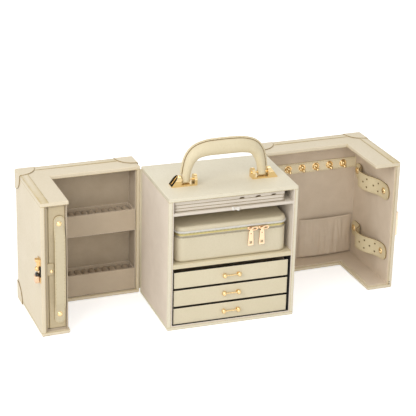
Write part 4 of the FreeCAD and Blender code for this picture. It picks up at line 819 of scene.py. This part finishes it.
# The lip takes the darker copy of the front's leather: painted shade.
finish_piece("bay_lip", lip_form, "left_wing", shaded_front_leather)

# Snap tab: a short leather tab sewn to the insert's edge. It is punched with a hole that snaps over
# a gold press stud, which stands on its post in the insert's face.
tab_middle, tab_size = Vector((159.3, -90.4, 99.7)) * MM, Vector((11.4, 1.4, 17.8)) * MM
tab_form = bmesh.new()
bmesh.ops.create_cube(tab_form, size=1, matrix=placed(None, None, tab_size))
corners = [edge for edge in tab_form.edges if abs(edge.verts[0].co.y - edge.verts[1].co.y) > 1e-6
           and edge.verts[0].co.x < 0]
round_edges(tab_form, corners, 2.6, 6)
round_edges(tab_form, tab_form.edges[:], 0.25, 2)
bmesh.ops.transform(tab_form, matrix=wing_frame("left") @ Matrix.Translation(tab_middle),
                    verts=tab_form.verts)
# The tab takes the darker copy of the front's leather: painted shade.
finish_piece("leather_snap_tab", tab_form, "snap_tab", shaded_front_leather, ("snap_tab",))
caps = bmesh.new()
stud(caps, "left", (157.4, -91.2, 96.9), (0, -1, 0), 2.2, 1.5, 0.4)
cord_along(caps, [on_wing("left", 157.4, b, 96.9) for b in (-89.6, -90.2, -90.8, -91.3)], 0.9 * MM, 12)
finish_piece("snap_cap", caps, "insert", gold)
sewn = bmesh.new()
for ends in (((154.9, 93.4), (154.9, 106.0)), ((163.6, 92.4), (163.6, 107.0)),
             ((156.5, 92.2), (163.4, 92.2)), ((156.5, 107.2), (163.4, 107.2))):
    stitch_row(sewn, [on_wing("left", a, -91.15, z) for a, z in ends], wing_way("left", 0, -1, 0),
               2.2 * MM, 0.25 * MM)
finish_piece("snap_tab_stitches", sewn, "snap_tab", shaded_strap_thread)

# Lock: a gold-plated zinc casting whose bar, block and ball stand on a base plate; a lever with a
# thumb piece swings up on it. A glossy black ball on the lever is painted shade for the dark hole at its
# eye, and a dark strip at the plate's front edge is painted shade for the gap there.
lock_form = bmesh.new()
block_on_wing(lock_form, "left", (173.0, 174.2), (-93.0, -79.0), (81.4, 117.4), 0.5)
block_on_wing(lock_form, "left", (173.8, 180.2), (-92.6, -85.0), (113.8, 117.8), 0.8)
block_on_wing(lock_form, "left", (173.8, 178.0), (-92.2, -86.4), (105.8, 114.2), 0.6)
bmesh.ops.create_uvsphere(lock_form, u_segments=24, v_segments=14, radius=1,
                          matrix=wing_place("left", (177.0, -89.0, 102.9), (3.8, 3.3, 3.8)))
for level in (82.5, 100.5):
    stud(lock_form, "left", (174.15, -81.0, level), (1, 0, 0), 1.3, 0.7)
cast_gold = plate("cast_gold_plate", "#E0BC84", 0.3)
rose_cast = plate("rose_cast_plate", "#DDBD9C", 0.34)
finish_piece("lock_casting", lock_form, "left_wing", cast_gold, ("lock_plate",))
# Painted shade: a dark strip along the plate's front edge, for the shadowed gap there.
gap_shade_form = bmesh.new()
block_on_wing(gap_shade_form, "left", (173.1, 175.2), (-93.1, -92.6), (90.6, 107.4), 0.15)
finish_piece("lock_gap_shade_strip", gap_shade_form, "left_wing", plate("painted_lock_gap_shade", "#2B2724", 0.3))
lever_form = bmesh.new()
block_on_wing(lever_form, "left", (174.6, 180.8), (-92.0, -83.0), (81.8, 92.4), 1.1)
for a, level in ((176.4, 88.8), (179.0, 88.8), (176.4, 84.0), (179.0, 84.0)):
    stud(lever_form, "left", (a, -91.9, level), (0, -1, 0), 0.75, 0.6)
finish_piece("lock_thumb_piece", lever_form, "lock_lever", rose_cast, ("lock_lever",))
# Painted shade: a glossy black ball for the dark eye hole in the lever.
knob_form = bmesh.new()
bmesh.ops.create_uvsphere(knob_form, u_segments=24, v_segments=14, radius=1,
                          matrix=wing_place("left", (177.04, -87.4, 93.8), (2.8, 4.7, 2.8)))
finish_piece("lock_knob", knob_form, "lock_lever", vinyl("painted_eye_shade", "#16130F"))

# Catch rail: the cast rail on the right wing's catch plate, plated in pale rose gold. The lock's
# lever closes over it.
rail_form = bmesh.new()
block_on_wing(rail_form, "right", (173.3, 177.9), (-92.0, -84.4), (83.3, 120.7), 1.3)
finish_piece("catch_rail", rail_form, "right_wing", plate("pale_rose_plate", "#F4E3CB", 0.3))

# Hook rosettes: a pressed round plate with a raised rim behind each necklace hook, and a ball on
# the hook's tip so that it doesn't catch on a chain.
rosettes = bmesh.new()
for a in (52.2, 75.0, 97.8, 120.6, 143.4):
    stud(rosettes, "right", (a, 31.3, 157.2), (0, -1, 0), 4.4, 2.0, 1.2)
    rim = [on_wing("right", a + 5.3 * math.cos(k * math.pi / 12), 30.9,
                   157.2 + 5.3 * math.sin(k * math.pi / 12)) for k in range(24)]
    cord_along(rosettes, rim, 0.65 * MM, 8, True)
    for at, size in (((a, 23.8, 154.6), 2.7), ((a - 0.6, 28.3, 158.8), 2.8)):
        bmesh.ops.create_uvsphere(rosettes, u_segments=18, v_segments=12, radius=size * MM,
                                  matrix=Matrix.Translation(on_wing("right", *at)))
finish_piece("hook_rosettes", rosettes, "right_wing", gold)

# Pull knobs: each drawer pull's bar runs between two egg-shaped knobs, cast and plated in a gold
# that is a little satin.
for number in "123":
    pull_low, pull_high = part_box("drawer_pull_" + number)
    knobs = bmesh.new()
    for x in (-10.9, 10.9):
        spot = (x * MM, -66.0 * MM, (pull_low.z + pull_high.z) / 2)
        bmesh.ops.create_uvsphere(knobs, u_segments=24, v_segments=14, radius=1,
                                  matrix=placed(spot, None, Vector((3.1, 2.9, 3.7)) * MM))
    finish_piece("pull_knobs_" + number, knobs, "drawer_" + number, satin_gold)

# Edge wraps: the side panels' leather is turned over the boards' edges and glued down, so a strip
# twelve millimetres wide lies half a millimetre proud along the outer edges above and below. The
# strip's cut edge is painted tan, with a soft gloss.
wrap_width, wing_long, wing_deep, wing_mouth = 12, 173, 40, -95.2
outer_a, outer_b = wing_long - 0.6, wing_deep - 0.6
inner_a, inner_b = wing_long - wrap_width, wing_deep - wrap_width
overlap_paint = vinyl("tan_edge_paint", "#B9A67A")
for side in ("left", "right"):
    wraps = bmesh.new()
    for low, rise in ((200, 0.5), (0.52, -0.3)):
        plan = [(0.6, outer_b), (outer_a, outer_b), (outer_a, wing_mouth + 0.8), (inner_a, wing_mouth + 0.8),
                (inner_a, inner_b), (0.6, inner_b)]
        flat = wraps.faces.new([wraps.verts.new(on_wing(side, a, b, low)) for a, b in plan])
        grown = bmesh.ops.extrude_face_region(wraps, geom=[flat])["geom"]
        top = [item for item in grown if isinstance(item, bmesh.types.BMVert)]
        bmesh.ops.translate(wraps, vec=Vector((0, 0, rise * MM)), verts=top)
    bmesh.ops.recalc_face_normals(wraps, faces=wraps.faces)
    round_edges(wraps, wraps.edges[:], 0.2, 2)
    finish_piece(side + "_edge_wraps", wraps, side + "_wing", wing_leather)
    beads = bmesh.new()
    cord_along(beads, [on_wing(side, a, inner_b, 200.45) for a in (27.4, 90.0, 145.6)], 0.26 * MM)
    cord_along(beads, [on_wing(side, inner_a, b, 200.45) for b in (12.6, -40.0, wing_mouth + 1.2)], 0.26 * MM)
    cord_along(beads, [on_wing(side, 167.2, wing_mouth - 0.02, z) for z in (6.0, 100.0, 194.6)], 0.3 * MM)
    finish_piece(side + "_overlap_edges", beads, side + "_wing", overlap_paint)

# Patch piping: each leather corner patch is edged with a thin brown cord where it ends on the
# shell, a quarter ring on each face that it covers. The wings stand on the lowest faces, so those
# have none.
brown_cord = vinyl("brown_edge_cord", "#957B4E")
cord_radius, patch_radius = 0.5 * MM, 27.15 * MM


def quarter_ring(form, centre, first, second, radius, thick):
    """A round cord along a quarter circle from one direction to another."""
    axis = first.cross(second).normalized()
    made = bmesh.ops.create_circle(form, segments=8, radius=thick, cap_ends=False,
                                   matrix=placed(centre + first * radius, facing(first, axis)))["verts"]
    bmesh.ops.spin(form, geom=made + edges_of(made), cent=centre, axis=axis, angle=math.radians(90), steps=18)


for side in ("left", "right"):
    cords = bmesh.new()
    for a, inward in ((0, 1), (wing_long, -1)):
        for z, downward in ((200, -1), (0.5, 1)):
            centre = on_wing(side, a, wing_deep, z)
            along, back = wing_way(side, inward, 0, 0), wing_way(side, 0, -1, 0)
            down = Vector((0, 0, downward))
            faces = [(along, down, -back), (back, down, -along)] + ([(along, back, -down)] if z > 1 else [])
            for first, second, normal in faces:
                quarter_ring(cords, centre + normal * 0.6 * MM, first, second, patch_radius, cord_radius)
    finish_piece(side + "_patch_piping", cords, side + "_wing", brown_cord)

# Side pads: foam three millimetres thick under pale suede on the cabinet's sides, which fills the
# closed wings' mouths. Each has a soft crown and edges that are pulled down where it is glued.
pad_suede = suede("pad_suede", "#E4D6C4", "#D8C9B6")
for side, sign in (("left", -1), ("right", 1)):
    low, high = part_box("side_pads")
    face, crown = 95 * MM, high.x
    size = Vector((crown - face, high.y - low.y, high.z - low.z))
    centre = Vector((sign * (face + crown) / 2, (low.y + high.y) / 2, (low.z + high.z) / 2))
    pad_form = bmesh.new()
    bmesh.ops.create_cube(pad_form, size=1, matrix=placed(None, None, size))
    tall = [edge for edge in pad_form.edges if abs(edge.verts[0].co.x - edge.verts[1].co.x) < 1e-6]
    bmesh.ops.subdivide_edges(pad_form, edges=tall, cuts=20, use_grid_fill=True)
    for vertex in pad_form.verts:
        if vertex.co.x * sign > 0:
            across = abs(vertex.co.y) / (size.y / 2)
            level = abs(vertex.co.z) / (size.z / 2)
            rise = (1 - across ** 8) * (1 - level ** 10)
            vertex.co.x = sign * size.x * (rise * 1.02 - 0.5 + 0.08 * (1 - rise))
    bmesh.ops.translate(pad_form, vec=centre, verts=pad_form.verts)
    pad = finish_piece(side + "_side_pad", pad_form, "cabinet", pad_suede, ("side_pads",), 60)

# Handle: a leather tube sewn round a foam core, thin at the feet and full at the grip. The two
# edges of the leather meet on the outside of the arch in a welt that is stitched through and
# painted brown along its seam. It turns on bushes at its feet.
handle_leather = leather("handle_leathercloth", "#DFD2B2", "#D0C19D", 1.3 * MM, 0.05 * MM, 0.46)
handle_pivot = Vector((0, -19, 208)) * MM
handle_stations = [(56.4, -5.15, 6.0, 0.9), (56.4, -4.6, 6.2, 2.5), (56.4, -3.2, 6.3, 4.1),
                   (56.4, -1.2, 6.4, 5.3), (55.8, 7.5, 6.3, 5.9), (53.4, 19.5, 7.0, 7.0),
                   (48.6, 31.0, 8.4, 8.4), (40.0, 39.1, 9.7, 9.7), (26.0, 42.7, 10.5, 10.5),
                   (12.0, 43.3, 10.8, 10.8), (0.0, 43.4, 10.9, 10.9)]
welt_proud, welt_half = 3.0, 1.2


def through(stations, steps):
    """A smooth run through the stations, with a few steps between each two of them."""
    ends = [stations[0]] + stations + [stations[-1]]
    made = []
    for before, start, stop, after in zip(ends, ends[1:], ends[2:], ends[3:]):
        for step in range(steps):
            t = step / steps
            made.append(tuple(0.5 * (2 * q + (r - p) * t + (2 * p - 5 * q + 4 * r - w) * t * t
                                     + (3 * q - p - 3 * r + w) * t ** 3)
                              for p, q, r, w in zip(before, start, stop, after)))
    return made + [stations[-1]]


def along_arch(stations):
    """Centre and outward direction at each station of the arch, in metres."""
    spots = [handle_pivot + Vector((x * MM, 0, z * MM)) for x, z, *_ in stations]
    made = []
    for i, spot in enumerate(spots):
        run = (spots[min(i + 1, len(spots) - 1)] - spots[max(i - 1, 0)]).normalized()
        made.append((spot, Vector((run.z, 0, -run.x))))
    return made


crosswise = Vector((0, 1, 0))
half_arch = through(handle_stations, 5)
whole_arch = half_arch + [(-x, z, a, b) for x, z, a, b in reversed(half_arch[:-1])]
places = along_arch(whole_arch)
grip_form = bmesh.new()
skin(grip_form, [placed(spot, facing(outward, crosswise), (across * MM, deep * MM, 1))
                 for (spot, outward), (_, _, across, deep) in zip(places, whole_arch)], 32)
grip = finish_piece("handle_tube", grip_form, None, handle_leather, (), 50)
bore_form = bmesh.new()
bmesh.ops.create_cone(bore_form, cap_ends=True, segments=40, radius1=2.66 * MM, radius2=2.66 * MM,
                      depth=150 * MM, matrix=placed(handle_pivot, Matrix.Rotation(math.pi / 2, 3, "Y")))
bore = add_cutter(grip, bore_form)
settle(grip)
bpy.data.objects.remove(bore)
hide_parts("handle_grip")
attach(grip, "handle")

welt_form, seam_form, sewn = bmesh.new(), bmesh.new(), bmesh.new()
sewn_run = [item for item in zip(places, whole_arch) if item[1][1] > 6]
rings = []
for (spot, outward), (_, _, across, _) in sewn_run:
    middle = spot + outward * (across + welt_proud / 2 - 0.9) * MM
    rings.append(placed(middle, facing(outward, crosswise), ((welt_proud / 2 + 0.9) * MM, welt_half * MM, 1)))
skin(welt_form, rings, 16)
finish_piece("handle_welt", welt_form, "handle", handle_leather, (), 50)
for face in (-1, 1):
    rings, needle_line = [], []
    for (spot, outward), (_, _, across, _) in sewn_run:
        foot = spot + outward * (across + 0.1) * MM + crosswise * face * 1.2 * MM
        rings.append(placed(foot, facing(outward, crosswise), (0.75 * MM, 0.55 * MM, 1)))
        needle_line.append(foot + outward * 1.4 * MM)
    skin(seam_form, rings, 8)
    stitch_row(sewn, needle_line, (0, face, 0), 3.0 * MM, 0.3 * MM)
finish_piece("handle_seam", seam_form, "handle", edge_paint)
finish_piece("handle_stitches", sewn, "handle", thread)

# Ring rolls: twelve soft foam rolls under suede across each trough, on one foam block. Rings stand
# in the slits between them; the rolls' ends are rounded where the suede is tucked in.
roll_count, roll_levels = 12, ((9.0, 30.9, "lower"), (102.5, 124.4, "upper"))
roll_start, roll_stop, roll_front, roll_rear, roll_radius = 8.6, 132.6, 6.2, 30.5, 5.15
roll_ends = ((0.0, 0.62), (0.5, 0.82), (1.4, 0.95), (3.2, 1.0))
roll_suede = suede("roll_suede", "#BFAF99", "#A99881")
for low, axis_level, name in roll_levels:
    rolls = bmesh.new()
    pitch = (roll_stop - roll_start) / roll_count
    for i in range(roll_count):
        a = roll_start + pitch * (i + 0.5)
        stations = [(roll_front + depth, share) for depth, share in roll_ends]
        stations += [(roll_rear - depth, share) for depth, share in reversed(roll_ends)]
        turn = facing(wing_way("left", 1, 0, 0), Vector((0, 0, 1)))
        skin(rolls, [placed(on_wing("left", a, b, axis_level - (1 - share) * 2), turn,
                            (roll_radius * share * MM, roll_radius * share * MM, 1))
                     for b, share in stations], 20)
    block_on_wing(rolls, "left", (roll_start, roll_stop), (roll_front, roll_rear),
                  (low, axis_level - 1.8), 1.2)
    piece = finish_piece("ring_rolls_" + name, rolls, "left_wing", roll_suede, ("ring_rolls",), 60)

# Gathered pocket: one piece of suede cloth sewn down at its sides and foot, its top edge gathered
# on elastic inside a hem. It stands a few millimetres off the back in soft uneven folds.
pocket_cloth = suede("pocket_cloth", "#DBCBB6", "#CBBAA4")
pocket_a, pocket_z, pocket_back, pocket_front = (75.4, 165.0), (7.3, 71.3), 32.45, 26.6
fold_random = random.Random(7)
fold_waves = [(fold_random.uniform(4.0, 11.0), fold_random.uniform(0, 6.3), fold_random.uniform(-1.6, 1.6),
               fold_random.uniform(0.3, 1.0)) for _ in range(7)]
fold_sum = sum(weight for *_, weight in fold_waves)


def pocket_point(u, v):
    """Where the pocket's cloth hangs: u across from side to side, v from foot to hem."""
    a = pocket_a[0] + (pocket_a[1] - pocket_a[0]) * u
    round_off = max(math.sin(math.pi * min(max((a - 76.0) / 87.6, 0.0), 1.0)), 0.0) ** 0.42
    belly = 0.9 * math.sin(math.pi * min(v * 1.1, 1)) ** 1.5
    fold = sum(weight * math.sin(count * 2 * math.pi * u + phase + lean * v * 2.2)
               for count, phase, lean, weight in fold_waves) / fold_sum
    fold += 0.16 * math.sin(74 * u + 5 * v + 2.5 * math.sin(9 * u)) * math.sin(6.5 * u + 4 * v)
    depth = 2.3 * (1 - v ** 5) * (0.35 + 0.65 * v ** 0.5)
    tuck = max(0, 1 - v / 0.06) ** 2
    front = pocket_front - belly + fold * depth
    b = pocket_back + (front - pocket_back) * round_off * (1 - tuck * 0.85)
    return on_wing("right", a, b, pocket_z[0] + (pocket_z[1] - pocket_z[0]) * v)


def laid(point, columns, rows):
    """A grid laid through a function of its two directions."""
    form = bmesh.new()
    bmesh.ops.create_grid(form, x_segments=columns, y_segments=rows, size=0.5)
    for vertex in form.verts:
        vertex.co = point(vertex.co.x + 0.5, vertex.co.y + 0.5)
    return form


def cloth_sheet(name, form, thick, body, material):
    """A piece of cloth from a laid grid, with a little thickness."""
    item = finish_piece(name, form, None, material, (), 80)
    thicken(item, thick)
    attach(item, body)
    return item


pocket_sheet = cloth_sheet("pocket_cloth", laid(pocket_point, 210, 56), 0.5, "right_wing",
                           pocket_cloth)
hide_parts("gathered_pocket")


def hem_point(u, v):
    """The elastic hem: a rolled casing along the pocket's top edge."""
    spot = pocket_point(u, 0.965 + 0.032 * math.cos(2 * math.pi * v))
    ripple = 0.12 * math.sin(u * 420) * (1 - abs(2 * u - 1) ** 6)
    return spot + wing_way("right", 0, 1, 0) * ((0.6 + ripple) * math.sin(2 * math.pi * v)) * MM


hem_form = laid(hem_point, 220, 10)
bmesh.ops.remove_doubles(hem_form, verts=hem_form.verts, dist=0.02 * MM)
pocket_hem = finish_piece("pocket_hem", hem_form, "right_wing", pocket_cloth, (), 80)

# Hinge strips: a strip of the shell's own leathercloth from the cabinet's back to each wing's end,
# glued down on both. It is the wing's hinge, so it bends in the gap between them.
strip_low, strip_high, strip_thick = 7.0, 195.0, 0.7
for side, sign in (("left", -1), ("right", 1)):
    bend = [(83.2, 66.45), (88.0, 66.45), (93.5, 66.45), (94.8, 66.5), (95.4, 66.8), (95.62, 67.4),
            (95.62, 68.6), (95.6, 70.0), (95.55, 74.0), (95.5, 77.6)]
    strip_form = bmesh.new()
    line = [strip_form.verts.new(Vector((sign * x, y, strip_low)) * MM) for x, y in bend]
    run = [strip_form.edges.new(pair) for pair in zip(line, line[1:])]
    bmesh.ops.extrude_edge_only(strip_form, edges=run)
    strip_form.verts.ensure_lookup_table()
    for vertex in strip_form.verts[len(bend):]:
        vertex.co.z = strip_high * MM
    strip = finish_piece(side + "_hinge_cloth", strip_form, None, shell_leather,
                         (side + "_hinge_strip",), 80)
    thicken(strip, strip_thick)
    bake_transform(strip)

# Pull bow: a short satin ribbon folded into two flat loops with a band round their middle, glued
# under the flat tray's front edge, to draw the tray out. Its long floats shine in one soft band; they
# are too fine to show, so they are drawn 0.35 mm wide.
satin, tree, place = blank("white_satin")
floats = add(tree, "TexWave", {"bands_direction": "Z", "Scale": 0.05 / (0.35 * MM), "Distortion": 0.6},
             {"Vector": place})
creases = add(tree, "TexNoise", {"Scale": 1 / (2.5 * MM), "Detail": 2.0}, {"Vector": place})
lustre = add(tree, "MapRange", {"From Min": 0.3, "From Max": 0.7, "To Min": 0.28, "To Max": 0.5},
             {"Value": creases.outputs["Fac"]})
bump = add(tree, "Bump", {"Strength": 0.5, "Distance": 0.06 * MM}, {"Height": floats.outputs["Fac"]})
ribbon_cloth = add(tree, "BsdfPrincipled", {"Base Color": "#E6E0D5", "Specular IOR Level": 0.55,
                                            "Sheen Weight": 0.2},
                   {"Roughness": lustre, "Normal": bump})
add(tree, "OutputMaterial", {}, {"Surface": ribbon_cloth})
bow_centre, bow_half, bow_width = Vector((1.4, -66.9, 176.6)) * MM, 5.6, 5.0


def bow_point(u, v):
    """The ribbon's path: out and back in a flat loop on each side, narrowed at the knot."""
    angle = 2 * math.pi * u
    x = bow_half * math.sin(angle)
    pinch = 0.4 + 0.6 * math.sin(math.pi / 2 * min(1, abs(x) / 3.4)) - 0.35 * max(0, abs(x) / bow_half - 0.7)
    y = 1.0 * math.sin(2 * angle) * min(1, abs(x) / 2.0)
    wave = 0.5 * math.sin(x * 1.3 + v * 4)
    return bow_centre + Vector((x, y + wave * 0.4, (v - 0.5) * bow_width * pinch - 0.13 * x)) * MM


bow = cloth_sheet("ribbon_bow", laid(bow_point, 96, 10), 0.22, "flat_tray", satin)
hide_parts("tray_tab")


def band_point(u, v):
    """The band round the middle of the bow."""
    angle = 2 * math.pi * u
    return bow_centre + Vector(((v - 0.5) * 2.6, -1.05 * math.cos(angle), 1.7 * math.sin(angle))) * MM


cloth_sheet("bow_band", laid(band_point, 32, 6), 0.22, "flat_tray", satin)

# Band stitching: a row of the straps' thread along both edges of the hook band, sewn through the
# band and the suede behind it.
sewn = bmesh.new()
for level in (150.2, 163.3):
    needle_line = [on_wing("right", a, 31.25, level) for a in (8.0, 164.0)]
    stitch_row(sewn, needle_line, wing_way("right", 0, -1, 0), 2.6 * MM, 0.26 * MM)
finish_piece("band_stitches", sewn, "right_wing", shaded_strap_thread)

# Tray lines: the suede of the tray and the board is folded and glued over their edges. Thin brown cords
# across their fronts, two on each, are painted shade, mostly for the dark gaps between the tray, the board,
# the shelf and the top board.
painted_gap_line = suede("painted_gap_line", "#9A8763", "#877450", None, 0.2, 0.0)
for body, levels in (("flat_tray", (178.75, 183.1)), ("necklace_board", (187.9, 192.9))):
    shade_cords = bmesh.new()
    for level in levels:
        gap_path = [Vector((x, -61.1, level)) * MM for x in (-85.4, -40.0, 0.0, 40.0, 76.4)]
        cord_along(shade_cords, gap_path, 0.36 * MM)
    finish_piece(body + "_gap_shade_lines", shade_cords, body, painted_gap_line)

# Board notches: three thumb notches in the necklace board's front edge, by which the board is lifted
# out. Each is drawn as a thin dark brown lens on the edge: painted shade for the notch's hollow.
notches = bmesh.new()
for x in (12.3, 36.8, 59.7):
    bmesh.ops.create_uvsphere(notches, u_segments=24, v_segments=12, radius=1,
                              matrix=placed(Vector((x, -61.4, 189.5)) * MM, None,
                                            Vector((3.5, 0.4, 0.8)) * MM))
finish_piece("board_notches", notches, "necklace_board",
             suede("painted_notch_shade", "#5A4932", "#47391F", None, 0.2, 0.0))
